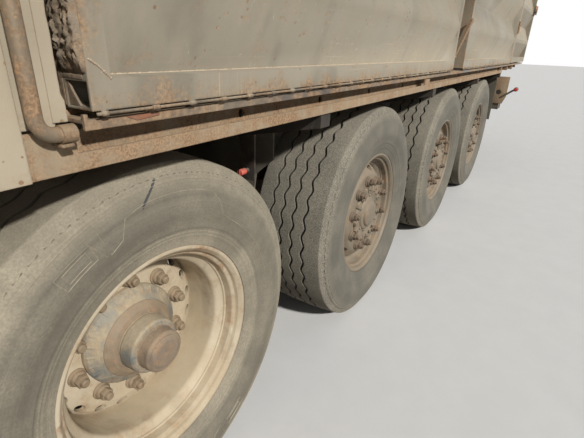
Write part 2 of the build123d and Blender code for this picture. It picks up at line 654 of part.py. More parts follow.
def cab_grille():
    """Upper panel's slats and the lower grille of flat bars in the nose's opening."""
    front = CAB_FRONT
    pieces = []
    for z in range(1276, 1600, 52):
        half = 734 + (z - 1276) * 0.2
        pieces.append(along_y([(front - 30, z), (front - 10, z), (front - 4, z + 26), (front - 30, z + 32)],
                              (-half, half)))
    upper = joined(pieces + [block((front - 30, front - 24), (-30, 30), (1270, 1620))])
    bars = [along_y([(front - 34, z), (front - 14, z), (front - 8, z + 28), (front - 34, z + 28)], (-599, 599))
            for z in range(830, 1080, 48)]
    posts = [block((front - 44, front - 30), (y - 16, y + 16), (826, 1100)) for y in (-500, 0, 500)]
    return [upper, joined(bars + posts)]


# Body

def folded_sheet(x, low, high):
    """Sheet folded in ridges that come flush with the rails' outer face."""
    deep = SIDE_INNER
    flush = BED_OUTER - SHEET_T
    points = [(deep, low)]
    ridge = FIRST_RIDGE_Z
    while ridge + RIDGE_FLAT / 2 < high:
        points += [(flush, ridge - RIDGE_FLAT / 2), (flush, ridge + RIDGE_FLAT / 2)]
        valley = ridge + RIDGE_PITCH / 2
        if valley < high:
            points.append((deep, valley))
        ridge += RIDGE_PITCH
    start_y, start_z = points[-1]
    if start_z < high:
        rise = (flush - deep) / (RIDGE_PITCH / 2 - RIDGE_FLAT / 2)
        points.append((min(flush, start_y + rise * (high - start_z)), high))
    outer = [(y + SHEET_T, z) for y, z in points]
    return along_x(points + outer[::-1], x)


def side_panel(x, open_front=False):
    """Rails, stiles and folded sheet of one side section, x from rear to front."""
    inner, outer = SIDE_INNER, BED_OUTER
    low, high = SIDE_BOTTOM, SIDE_TOP
    rails = [block(x, (inner, outer), (low, low + RAIL_H)),
             block(x, (inner, outer), (high - RAIL_H, high))]
    stiles = [block((x[0], x[0] + STILE_W), (inner, outer), (low, high)),
              block((x[1] - STILE_W, x[1]), (inner, outer), (low, high))]
    sheet = folded_sheet((x[0] + STILE_W - 1, x[1] - STILE_W + 1), low + RAIL_H - 1, high - RAIL_H + 1)
    panel = joined(rails + stiles + [sheet])
    if open_front:
        wall = 5
        panel = panel - block((x[1] - 300, x[1] + 1), (inner + wall, outer - wall),
                              (low + wall, low + RAIL_H - wall))
    return panel


def knuckle_stations(x, shift):
    """Places of a drop side's hinge knuckles along the body, one each pitch from its front end."""
    first = x[1] - 30 - shift
    count = int((first - x[0] - 30) / KNUCKLE_PITCH) + 1
    return [first - KNUCKLE_PITCH * index for index in range(count)]


def drop_side(x, open_front=False):
    """A side panel with its hinge rod and the knuckles that hold the rod."""
    y, z = SIDE_HINGE
    pieces = [side_panel(x, open_front), rod((x[0] + 12, y, z), (x[1] - 8, y, z), HINGE_ROD_R)]
    for station in knuckle_stations(x, 0):
        ends = (station - KNUCKLE / 2, station + KNUCKLE / 2)
        pieces.append(rod((ends[0], y, z), (ends[1], y, z), KNUCKLE_R))
        pieces.append(block(ends, (y - 10, BED_OUTER), (z, SIDE_BOTTOM + 2)))
    return joined(pieces)


def bed_floor():
    """Floor plate with the notch for the cylinder and the fixed halves of the side hinges."""
    plate = block((BED_REAR, HEADBOARD_X[1]), (-FLOOR_HALF, FLOOR_HALF), FLOOR_Z)
    plate = plate - block((RECESS_BACK, BED_FRONT), (-RECESS_HALF, RECESS_HALF), (1100, 1200))
    y, z = SIDE_HINGE
    low, high = FLOOR_LIP_Z
    edge_x = (BED_REAR, BED_FRONT + 11)
    edge = joined([block(edge_x, (FLOOR_HALF - FLOOR_EDGE_T, FLOOR_HALF), (high - FLOOR_EDGE_T, FLOOR_Z[1] - 2)),
                   block(edge_x, (FLOOR_HALF - FLOOR_EDGE_T, FLOOR_EDGE[1]), (high - FLOOR_EDGE_T, high)),
                   block(edge_x, FLOOR_EDGE, (low, high)),
                   block((edge_x[1] - 7, edge_x[1]), FLOOR_EDGE, (low, high + 9))])
    stations = []
    for x in (FRONT_PANEL_X, REAR_PANEL_X):
        for station in knuckle_stations(x, KNUCKLE_PITCH / 2):
            ends = (station - KNUCKLE / 2, station + KNUCKLE / 2)
            stations += [block(ends, (FLOOR_EDGE[0], FLOOR_EDGE[1]), (high - 2, z - 1)),
                         block(ends, (FLOOR_EDGE[0], y), (z - 4, z - 1)),
                         rod((ends[0], y, z), (ends[1], y, z), KNUCKLE_R)]
    edge = joined([edge] + stations)
    for x in (FRONT_PANEL_X, REAR_PANEL_X):
        edge = edge - rod((x[0], y, z), (x[1], y, z), HINGE_ROD_R + 0.4)
    return [joined([plate] + pair(edge))]


def bed_bearers():
    """Two long sills and the cross bearers under the floor, with the tipping hinge's lugs."""
    sill = block((BED_REAR + 20, 1700), RAIL_Y, SILL_Z)
    hinge_x, hinge_z = BED_HINGE
    lug = along_y([(hinge_x - 60, SILL_Z[0] + 8), (hinge_x - 33, hinge_z - 5), (hinge_x + 33, hinge_z - 5),
                   (hinge_x + 60, SILL_Z[0] + 8)], BED_LUG_Y)
    lug = lug + rod((hinge_x, BED_LUG_Y[0], hinge_z), (hinge_x, BED_LUG_Y[1], hinge_z), 34)
    lug = lug - rod((hinge_x, 300, hinge_z), (hinge_x, 460, hinge_z), BED_PIN_R + 0.5)
    pieces = pair(sill, lug)
    x = BED_REAR + 60
    while x < 1640:
        across = block((x, x + BEARER_W), (-FLOOR_HALF + FLOOR_EDGE_T, FLOOR_HALF - FLOOR_EDGE_T), BEARER_Z)
        if BED_HINGE[0] + 60 < x < CHANNEL_X[0] - BEARER_W - 10:
            ends = block((x, x + BEARER_W), (FLOOR_HALF - 20, FLOOR_EDGE[0] - 6),
                         (BEARER_Z[0], FLOOR_LIP_Z[1] - FLOOR_EDGE_T))
            pieces += pair(ends)
        if x + BEARER_W > RECESS_BACK - 30:
            across = across - block((x - 1, x + BEARER_W + 1), (-RAIL_Y[0], RAIL_Y[0]), (1000, 1200))
            pieces += across.solids()
        else:
            pieces.append(across)
        x += 436
    return [joined(pieces)]


def headboard():
    """Front wall with its frame, the sloping recess for the cylinder and the eye's ears."""
    low_x, high_x = HEADBOARD_X
    half = FLOOR_HALF
    base = FLOOR_Z[1]
    rails = [block(HEADBOARD_X, (-half, half), (HEADBOARD_TOP - 70, HEADBOARD_TOP))]
    posts = pair(block(HEADBOARD_X, (half - 80, half), (base, HEADBOARD_TOP)),
                 block(HEADBOARD_X, (RECESS_HALF, RECESS_HALF + 70), (base, HEADBOARD_TOP)))
    foot = pair(block(HEADBOARD_X, (RECESS_HALF + 60, half), (base, base + 70)))
    sheet = block((low_x, low_x + 6), (-half, half), (base, HEADBOARD_TOP))
    sheet = sheet - block((low_x - 5, high_x), (-RECESS_HALF, RECESS_HALF), (base - 5, RECESS_TOP))
    cheek_outline = [(low_x + 6, base), (low_x + 6, RECESS_TOP + 6), (low_x - 10, RECESS_TOP + 6),
                     (RECESS_BACK - 6, base)]
    cheeks = pair(along_y(cheek_outline, (RECESS_HALF, RECESS_HALF + 6)))
    back = along_y([(RECESS_BACK - 6, base), (RECESS_BACK, base), (low_x, RECESS_TOP - 2),
                    (low_x, RECESS_TOP + 6), (low_x - 10, RECESS_TOP + 6)],
                   (-RECESS_HALF - 1, RECESS_HALF + 1))
    eye_x, eye_z = EYE
    ear_outline = [(low_x + 4, eye_z - 120), (high_x + 40, eye_z - 120), (eye_x, eye_z - 54),
                   (eye_x + 50, eye_z - 26), (eye_x + 58, eye_z), (eye_x + 40, eye_z + 42),
                   (eye_x, eye_z + 58), (low_x + 4, eye_z + 58)]
    ears = pair(along_y(ear_outline, EAR_Y),
                rod((eye_x, EAR_Y[0] - 22, eye_z), (eye_x, EAR_Y[1] + 16, eye_z), 24))
    brace = block((low_x + 4, high_x), (-RECESS_HALF - 2, RECESS_HALF + 2), (eye_z - 130, eye_z - 60))
    return [joined(rails + posts + foot + [sheet, back, brace] + cheeks + ears)]


def bed_posts():
    """Recessed middle posts and flush rear posts, with their locking levers."""
    mid = block(MID_POST_X, (1150, SIDE_INNER - 6), (FLOOR_Z[1], SIDE_TOP))
    recess = block((MID_POST_X[0] + 40, MID_POST_X[1] - 40), (SIDE_INNER - 14, SIDE_INNER),
                   (FLOOR_Z[1] + 60, SIDE_TOP - 60))
    lever_pin = rod((-870, SIDE_INNER - 20, 1238), (-870, 1222, 1238), 16)
    lever = along_x([(1210, 1226), (1220, 1226), (1294, 1452), (1284, 1452)], (-884, -856))
    rear = block(REAR_POST_X, (1150, BED_OUTER), (SIDE_BOTTOM, SIDE_TOP))
    rear_foot = block(REAR_POST_X, (1150, FLOOR_HALF), (FLOOR_Z[1], SIDE_BOTTOM + 2))
    hook = along_y([(-3374, 1480), (-3352, 1480), (-3346, 1580), (-3362, 1584)], (BED_OUTER - 1, BED_OUTER + 12))
    return pair(joined([mid - recess, lever_pin, lever]), joined([rear, rear_foot, hook]))


def rear_sides():
    """Fixed side sections behind the rear posts, with the marker lamp's bracket."""
    wall = side_panel(REAR_SIDE_X)
    foot = block((REAR_SIDE_X[0], REAR_SIDE_X[1]), (1180, SIDE_INNER + 10), (FLOOR_Z[1], SIDE_BOTTOM + 20))
    tip_x, tip_z = TAILGATE_HINGE
    ear = along_y([(BED_REAR + 40, SIDE_TOP - 60), (BED_REAR + 40, tip_z + 35), (tip_x - 26, tip_z + 35),
                   (tip_x - 26, tip_z - 33), (BED_REAR, tip_z - 33), (BED_REAR, SIDE_TOP - 60)], (1244, 1262))
    pin = rod((tip_x, 1190, tip_z), (tip_x, 1262, tip_z), 14)
    bracket = block((-4640, -4600), (BED_OUTER - 2, BED_OUTER + 40), (1740, 1760))
    lamp = rod((-4620, BED_OUTER + 8, 1800), (-4620, BED_OUTER + 40, 1800), 42)
    return pair(joined([wall, foot, ear, pin, bracket, lamp]))


def tailgate():
    """Top-hung gate of folded sheet with its hinge arms."""
    x0, x1 = TAILGATE_X
    half = 1262
    low, high = 1166, 2140
    frame = [block((x0, x1), (-half, half), (low, low + 70)), block((x0, x1), (-half, half), (high - 70, high))]
    uprights = [block((x0, x1), (y - 35, y + 35), (low, high)) for y in (-half + 35, -640, 0, 640, half - 35)]
    sheet = block((x1 - 6, x1), (-half, half), (low, high))
    tip_x, tip_z = TAILGATE_HINGE
    arm = block((tip_x - 24, tip_x + 24), (1196, 1216), (high - 4, tip_z + 24))
    arm = arm - rod((tip_x, 1180, tip_z), (tip_x, 1230, tip_z), 14.5)
    latch = block((-LENGTH_HALF, x0 + 1), (1100, 1160), (low + 10, low + 60))
    return [joined(frame + uprights + [sheet] + pair(arm, latch))]


# Tipping cylinder

def on_cylinder(distance, y=0):
    """A point on the cylinder's axis, measured from its foot towards its eye."""
    run = (EYE[0] - FOOT[0], EYE[1] - FOOT[1])
    length = hypot(*run)
    return (FOOT[0] + run[0] / length * distance, y, FOOT[1] + run[1] / length * distance)


def closed_length():
    """Distance from the foot to the eye at rest."""
    return hypot(EYE[0] - FOOT[0], EYE[1] - FOOT[1])


def cylinder_tube():
    """Outer tube with its foot on the shaft between the rails."""
    tube = pipe(on_cylinder(52), on_cylinder(1262), TUBE_R, TUBE_R - STAGE_WALL)
    base = rod(on_cylinder(30), on_cylinder(62), TUBE_R)
    collar = pipe(on_cylinder(1240), on_cylinder(1270), TUBE_R + 8, TUBE_R - STAGE_WALL)
    foot = rod((FOOT[0], -70, FOOT[1]), (FOOT[0], 70, FOOT[1]), 62)
    foot = foot - rod((FOOT[0], -80, FOOT[1]), (FOOT[0], 80, FOOT[1]), FOOT_PIN_R + 0.5)
    shaft_room = rod((FOOT[0], -80, FOOT[1]), (FOOT[0], 80, FOOT[1]), FOOT_PIN_R + 0.5)
    return [joined([tube, base, collar, foot]) - shaft_room]


def cylinder_stage(index):
    """One sliding stage; the last one carries the eye."""
    radius = STAGES[index]
    start = 66 + 4 * index
    end = 1280 + 16 * index
    last = index == len(STAGES) - 1
    inner = radius - STAGE_WALL
    pieces = [pipe(on_cylinder(start), on_cylinder(end), radius, inner)]
    if last:
        pieces.append(rod(on_cylinder(end - 4), on_cylinder(closed_length() - 30), radius))
        eye = rod((EYE[0], -EYE_HALF, EYE[1]), (EYE[0], EYE_HALF, EYE[1]), EYE_R)
        hole = rod((EYE[0], -EYE_HALF - 5, EYE[1]), (EYE[0], EYE_HALF + 5, EYE[1]), 26)
        return joined(pieces + [eye]) - hole
    return joined(pieces)


def linkage():
    """The joints' ratios: foot swing and stage stroke for the body's full tip."""
    reach = hypot(EYE[0] - BED_HINGE[0], EYE[1] - BED_HINGE[1])
    angle = atan2(EYE[1] - BED_HINGE[1], EYE[0] - BED_HINGE[0]) + radians(TIP_MAX)
    raised = (BED_HINGE[0] + reach * cos(angle), BED_HINGE[1] + reach * sin(angle))
    length = hypot(raised[0] - FOOT[0], raised[1] - FOOT[1])
    lean = atan2(FOOT[0] - raised[0], raised[1] - FOOT[1])
    start = atan2(FOOT[0] - EYE[0], EYE[1] - FOOT[1])
    stroke = (length - closed_length()) / len(STAGES)
    return degrees(lean - start), stroke, [v / closed_length() for v in (EYE[0] - FOOT[0], EYE[1] - FOOT[1])]


def main():
    """Write every node."""
    os.makedirs("parts", exist_ok=True)
    wheel_rows = [("steer", STEER_X, shallow_wheel()), ("drive", DRIVE_X, deep_wheel())]
    wheel_rows += [(f"trail_{n + 1}", x, shallow_wheel()) for n, x in enumerate(TRAIL_X)]
    rubber = tyre()
    for name, x, wheel in wheel_rows:
        place = Pos(x, WHEEL_Y, WHEEL_Z)
        for side in ("left", "right"):
            turn = mirrored if side == "right" else (lambda shape: shape)
            save(f"tyre_{name}_{side}", turn(place * rubber))
            save(f"rim_{name}_{side}", turn(place * wheel))
    save("chassis_rails", *chassis_rails())
    save("crossmembers", *crossmembers())
    save("side_channels", *side_channels())
    save("outriggers", *outriggers())
    save("springs", *springs())
    save("front_axle", front_axle())
    save("rear_axles", *rear_axles())
    save("knuckle_left", knuckle())
    save("knuckle_right", mirrored(knuckle()))
    save("driveline", *driveline())
    save("frame_equipment", *frame_equipment())
    save("front_bumper", *front_bumper())
    save("lamps", *lamps())
    save("cabinets", *cabinets())
    save("hydraulic_pipe", *hydraulic_pipe())
    save("mudflaps", *mudflaps())
    save("rear_bar", *rear_bar())
    save("cab_shell", *cab_shell())
    save("cab_glass", *cab_glass())
    save("cab_interior", *cab_interior())
    save("cab_grille", *cab_grille())
    pane = along_y(door_window(), (CAB_HALF - 30, CAB_HALF - 24))
    for side, turn in (("left", lambda shape: shape), ("right", mirrored)):
        save(f"door_{side}", turn(door()))
        save(f"door_glass_{side}", turn(pane))
        save(f"drop_side_front_{side}", turn(drop_side(FRONT_PANEL_X, open_front=True)))
        save(f"drop_side_rear_{side}", turn(drop_side(REAR_PANEL_X)))
    save("bed_floor", *bed_floor())
    save("bed_bearers", *bed_bearers())
    save("headboard", *headboard())
    save("bed_posts", *bed_posts())
    save("rear_sides", *rear_sides())
    save("tailgate", *tailgate())
    save("cylinder_tube", *cylinder_tube())
    for index in range(len(STAGES)):
        save(f"cylinder_stage_{index + 1}", cylinder_stage(index))
    print("foot swing, stroke, axis:", linkage())


main()
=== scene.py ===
"""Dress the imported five-axle dump truck with the looks of its photograph.

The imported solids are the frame: every piece here takes its place from their boxes. Left is +Y,
forward is +X and up is +Z, in metres.
"""

import json
import logging
import math
from dataclasses import dataclass
from enum import Enum
from typing import Iterable, Optional, Sequence, Union

import bmesh
import bpy
from mathutils import Matrix, Vector, noise

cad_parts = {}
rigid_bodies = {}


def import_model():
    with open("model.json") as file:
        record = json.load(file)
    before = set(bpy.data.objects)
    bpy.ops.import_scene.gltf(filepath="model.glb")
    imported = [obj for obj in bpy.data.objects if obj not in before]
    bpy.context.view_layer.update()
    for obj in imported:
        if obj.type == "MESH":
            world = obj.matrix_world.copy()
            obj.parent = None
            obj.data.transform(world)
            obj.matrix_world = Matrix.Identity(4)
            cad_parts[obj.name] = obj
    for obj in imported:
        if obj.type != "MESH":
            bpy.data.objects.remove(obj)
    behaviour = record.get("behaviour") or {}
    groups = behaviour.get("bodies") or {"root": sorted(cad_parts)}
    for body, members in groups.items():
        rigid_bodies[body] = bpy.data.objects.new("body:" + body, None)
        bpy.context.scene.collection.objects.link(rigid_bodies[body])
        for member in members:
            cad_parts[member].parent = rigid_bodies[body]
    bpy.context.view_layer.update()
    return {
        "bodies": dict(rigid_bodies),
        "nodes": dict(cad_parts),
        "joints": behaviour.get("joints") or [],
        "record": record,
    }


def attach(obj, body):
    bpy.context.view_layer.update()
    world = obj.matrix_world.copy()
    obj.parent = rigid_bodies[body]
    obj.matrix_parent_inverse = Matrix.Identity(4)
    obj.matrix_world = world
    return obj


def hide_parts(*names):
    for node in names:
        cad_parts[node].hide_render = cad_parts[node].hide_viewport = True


LOG = logging.getLogger("dump_truck")
Colour = tuple[float, float, float, float]
Point = tuple[float, float, float]
Pair = tuple[float, float]
Row = tuple[float, ...]
Tree = bpy.types.NodeTree
Node = bpy.types.Node
Socket = bpy.types.NodeSocket
Material = bpy.types.Material
Mesh = bpy.types.Mesh
Piece = bpy.types.Object


def grey(value: float) -> Colour:
    """A neutral colour of that linear value."""
    return (value, value, value, 1.0)


def shade(red: float, green: float, blue: float) -> Colour:
    """An opaque colour from linear red, green and blue."""
    return (red, green, blue, 1.0)


def scaled(colour: Colour, factor: float, lift: float = 0.0) -> Colour:
    """A lighter or darker colour: each channel times a factor, plus a lift."""
    return shade(*(min(1.0, channel * factor + lift) for channel in colour[:3]))


ROAD_DUST = shade(0.34, 0.29, 0.21)
WORN_SPREAD = 0.12  # How much wider rust spreads for each 1.0 of the attribute "wear"
WHEEL_CREASE = 32.0  # Degrees
FOOT = 0.0004  # How deep the raised lines on a surface reach into it
SAME_SPOT = 1e-6  # Closer vertices are merged
TILT = Matrix.Rotation(math.radians(-8.5), 4, "Y")  # How far the seats' backs lean


class Side(Enum):
    """A side of the truck, with the sign of its Y."""

    LEFT = 1
    RIGHT = -1

    @property
    def word(self) -> str:
        """The side's name in node and body names."""
        return self.name.lower()


# Node trees

@dataclass
class Graph:
    """A node tree with short calls for adding nodes and feeding their sockets."""

    tree: Tree

    def feed(self, socket: Socket, value: object) -> None:
        """Link an output to a socket, or set the socket's own value.

        Args:
            socket: The input that is fed.
            value: An output socket, or a plain value.
        """
        if isinstance(value, Socket):
            self.tree.links.new(value, socket)
        else:
            socket.default_value = value

    def node(self, kind: str, inputs: Optional[dict] = None, **settings: object) -> Node:
        """Add a node.

        Args:
            kind: The node's type name.
            inputs: Values or outputs by input name or number.
            settings: The node's own properties.

        Returns:
            The new node.
        """
        made = self.tree.nodes.new(kind)
        for key, value in settings.items():
            setattr(made, key, value)
        for key, value in (inputs or {}).items():
            self.feed(made.inputs[key], value)
        return made

    def first(self, kind: str, inputs: Optional[dict] = None, **settings: object) -> Socket:
        """The first output of a new node, which is made as node() makes it."""
        return self.node(kind, inputs, **settings).outputs[0]

    def math(self, operation: str, *values: object, clamp: bool = False) -> Socket:
        """The result of a Math node on up to three values."""
        return self.first("ShaderNodeMath", dict(enumerate(values)), operation=operation,
                          use_clamp=clamp)

    def vector(self, operation: str, first: object, second: object,
               output: str = "Vector") -> Socket:
        """The result of a Vector Math node on two vectors."""
        return self.node("ShaderNodeVectorMath", {0: first, 1: second},
                         operation=operation).outputs[output]

    def times(self, *values: object, clamp: bool = False) -> Socket:
        """The product of two values."""
        return self.math("MULTIPLY", *values, clamp=clamp)

    def plus(self, *values: object, clamp: bool = False) -> Socket:
        """The sum of two values."""
        return self.math("ADD", *values, clamp=clamp)

    def here(self) -> Socket:
        """A shader's Object coordinates."""
        return self.node("ShaderNodeTexCoord").outputs["Object"]

    def mix(self, factor: object, first: object, second: object) -> Socket:
        """Two colours mixed by a factor."""
        return self.node("ShaderNodeMix", {0: factor, 6: first, 7: second},
                         data_type="RGBA").outputs[2]

    def ramp(self, value: object, low: float, high: float, floor: float = 0.0,
             top: float = 1.0) -> Socket:
        """A value mapped smoothly from low..high to floor..top.

        Args:
            value: The value.
            low: Where the ramp starts.
            high: Where it ends.
            floor: The result at its start.
            top: The result at its end.

        Returns:
            The result.
        """
        inputs = {"From Min": low, "From Max": high, "To Min": floor, "To Max": top, "Value": value}
        return self.node("ShaderNodeMapRange", inputs,
                         interpolation_type="SMOOTHSTEP").outputs["Result"]

    def noise(self, place: object, scale: object, detail: float = 4.0,
              rough: float = 0.55) -> Socket:
        """Noise of about 0 to 1 at a place."""
        inputs = {"Vector": place, "Scale": scale, "Detail": detail, "Roughness": rough}
        return self.node("ShaderNodeTexNoise", inputs).outputs["Fac"]

    def stretch(self, place: object, scale: Point) -> Socket:
        """Coordinates scaled apart along X, Y and Z."""
        return self.node("ShaderNodeMapping", {"Vector": place, "Scale": scale}).outputs["Vector"]


def new_group(name: str, inputs: dict[str, float], outputs: dict[str, str]) -> Graph:
    """Start a shader node group.

    Args:
        name: The group's name.
        inputs: Number inputs with their default values.
        outputs: Output names with their socket types.

    Returns:
        The group's graph, with its Group Input and Group Output nodes in place.
    """
    tree = bpy.data.node_groups.new(name, "ShaderNodeTree")
    for key, value in inputs.items():
        tree.interface.new_socket(key, in_out="INPUT",
                                  socket_type="NodeSocketFloat").default_value = value
    for key, kind in outputs.items():
        tree.interface.new_socket(key, in_out="OUTPUT", socket_type=kind)
    tree.nodes.new("NodeGroupInput")
    tree.nodes.new("NodeGroupOutput")
    return Graph(tree)


class Effects:
    """Shader groups that several finishes share, each built once."""

    def __init__(self) -> None:
        """Build every group."""
        self.edges = self._edges()
        self.grime = self._grime()
        self.rust = self._rust()

    @staticmethod
    def _fed(graph: Graph) -> bpy.types.NodeOutputs:
        """The group's own inputs, as its nodes read them."""
        return graph.tree.nodes["Group Input"].outputs

    def _scaled_place(self, graph: Graph) -> Socket:
        """Object coordinates times the group's Scale."""
        inputs = {0: graph.here(), "Scale": self._fed(graph)["Scale"]}
        return graph.first("ShaderNodeVectorMath", inputs, operation="SCALE")

    @staticmethod
    def _closed(graph: Graph, **values: Socket) -> Tree:
        """Feed the group's outputs by name, and give its tree.

        Args:
            graph: The tree that is being built.
            values: What goes in, as sockets or plain values.

        Returns:
            The finished tree.
        """
        for name, value in values.items():
            graph.feed(graph.tree.nodes["Group Output"].inputs[name], value)
        return graph.tree

    def _edges(self) -> Tree:
        """Rounded normals at edges, and a mask of where those edges are.

        Returns:
            The finished tree.
        """
        graph = new_group("edge wear", {"Width": 0.004, "Break": 40.0},
                          {"Edge": "NodeSocketFloat", "Normal": "NodeSocketVector"})
        fed = self._fed(graph)
        soft = graph.node("ShaderNodeBevel", {"Radius": fed["Width"]}, samples=4).outputs["Normal"]
        flat = graph.node("ShaderNodeNewGeometry").outputs["Normal"]
        bend = graph.ramp(graph.vector("DOT_PRODUCT", soft, flat, "Value"), 1.0, 0.86)
        broken = graph.ramp(graph.noise(graph.here(), fed["Break"], 6.0, 0.65), 0.42, 0.62)
        return self._closed(graph, Edge=graph.times(bend, broken), Normal=soft)

    def _grime(self) -> Tree:
        """Masks of settled dust, large patches, running streaks, fine grit, scratches and smears.

        Returns:
            The finished tree.
        """
        masks = ("Dust", "Patch", "Streak", "Grit", "Scratch", "Smear")
        graph = new_group("grime", {"Scale": 1.0, "Settle": 0.5},
                          dict.fromkeys(masks, "NodeSocketFloat"))
        place = self._scaled_place(graph)
        patch, grit = graph.noise(place, 2.6, 8.0, 0.62), graph.noise(place, 90.0, 5.0, 0.7)
        streak = graph.noise(graph.stretch(place, (16.0, 16.0, 1.3)), 1.0, 6.0, 0.6)
        up = graph.node("ShaderNodeSeparateXYZ",
                        {0: graph.node("ShaderNodeNewGeometry").outputs["Normal"]})
        settled = graph.times(graph.ramp(up.outputs["Z"], 0.05, 0.85), self._fed(graph)["Settle"])
        blown = graph.plus(graph.ramp(patch, 0.34, 0.7), settled)
        dust = graph.times(blown, graph.ramp(grit, 0.35, 0.7, 0.75, 1.1), clamp=True)
        lines = [graph.ramp(graph.noise(graph.stretch(place, way), 1.0, 3.0, 0.5), 0.64, 0.72)
                 for way in ((1.6, 1.6, 190.0), (150.0, 150.0, 2.2))]
        scratch = graph.times(graph.math("MAXIMUM", *lines), graph.ramp(patch, 0.4, 0.6))
        smear = graph.noise(graph.stretch(place, (5.0, 5.0, 1.6)), 1.0, 3.0, 0.5)
        return self._closed(graph, Dust=dust, Patch=patch, Streak=streak, Grit=grit,
                            Scratch=scratch, Smear=smear)

    def _rust(self) -> Tree:
        """The colour of rust, and a mask of where it breaks out in patches and in small spots.

        Returns:
            The finished tree.
        """
        graph = new_group("rust", {"Scale": 1.0, "Spread": 0.5, "Spots": 0.4},
                          {"Colour": "NodeSocketColor", "Mask": "NodeSocketFloat"})
        fed, place = self._fed(graph), self._scaled_place(graph)
        broad, fine = graph.noise(place, 5.0, 10.0, 0.68), graph.noise(place, 60.0, 6.0, 0.65)
        colour = graph.mix(graph.ramp(fine, 0.3, 0.7), shade(0.125, 0.072, 0.042),
                           shade(0.42, 0.262, 0.145))
        reach = graph.math("SUBTRACT", 1.0, fed["Spread"])
        over = graph.math("SUBTRACT", broad, graph.times(reach, 0.8))
        patches = graph.ramp(graph.plus(over, graph.times(fine, 0.16)), 0.0, 0.27)
        cells = graph.node("ShaderNodeTexVoronoi",
                           {"Vector": place, "Scale": 26.0}).outputs["Distance"]
        gate = graph.ramp(graph.noise(place, 7.0, 3.0, 0.6), 0.46, 0.66)
        size = graph.times(graph.times(gate, 0.34), fed["Spots"])
        spots = graph.times(graph.ramp(graph.math("SUBTRACT", size, cells), -0.03, 0.05),
                            graph.ramp(fine, 0.2, 0.5))
        return self._closed(graph, Colour=colour, Mask=graph.math("MAXIMUM", patches, spots))


# Finishes

@dataclass(frozen=True)
class Finish:
    """What every finish has: a name, and how its material starts and ends."""

    name: str

    def start(self) -> tuple[Material, Graph]:
        """A new material and its graph.

        Returns:
            The material and its graph.
        """
        material = bpy.data.materials.new(self.name)
        material.use_nodes = True
        return material, Graph(material.node_tree)

    @staticmethod
    def group(graph: Graph, tree: Tree, **values: object) -> bpy.types.NodeOutputs:
        """The outputs of a shared group that has its own values."""
        return graph.node("ShaderNodeGroup", values, node_tree=tree).outputs

    @staticmethod
    def end(material: Material, graph: Graph, values: dict, height: Optional[Socket] = None,
            distance: float = 0.0, **inputs: Socket) -> Material:
        """Feed the Principled shader, with a Bump node where there is a height.

        Args:
            material: The finish's material.
            graph: Its graph.
            values: The shader's inputs by name.
            height: What the Bump node raises.
            distance: How high it raises it, in metres.
            inputs: The Bump node's other inputs.

        Returns:
            The finished material.
        """
        shader = graph.tree.nodes["Principled BSDF"]
        if height is not None:
            bump = graph.node("ShaderNodeBump", {"Height": height, "Distance": distance, **inputs})
            values = values | {"Normal": bump.outputs["Normal"]}
        for key, value in values.items():
            graph.feed(shader.inputs[key], value)
        return material

    def build(self, effects: Effects) -> Material:
        """Make the material from the shared effects."""
        raise NotImplementedError


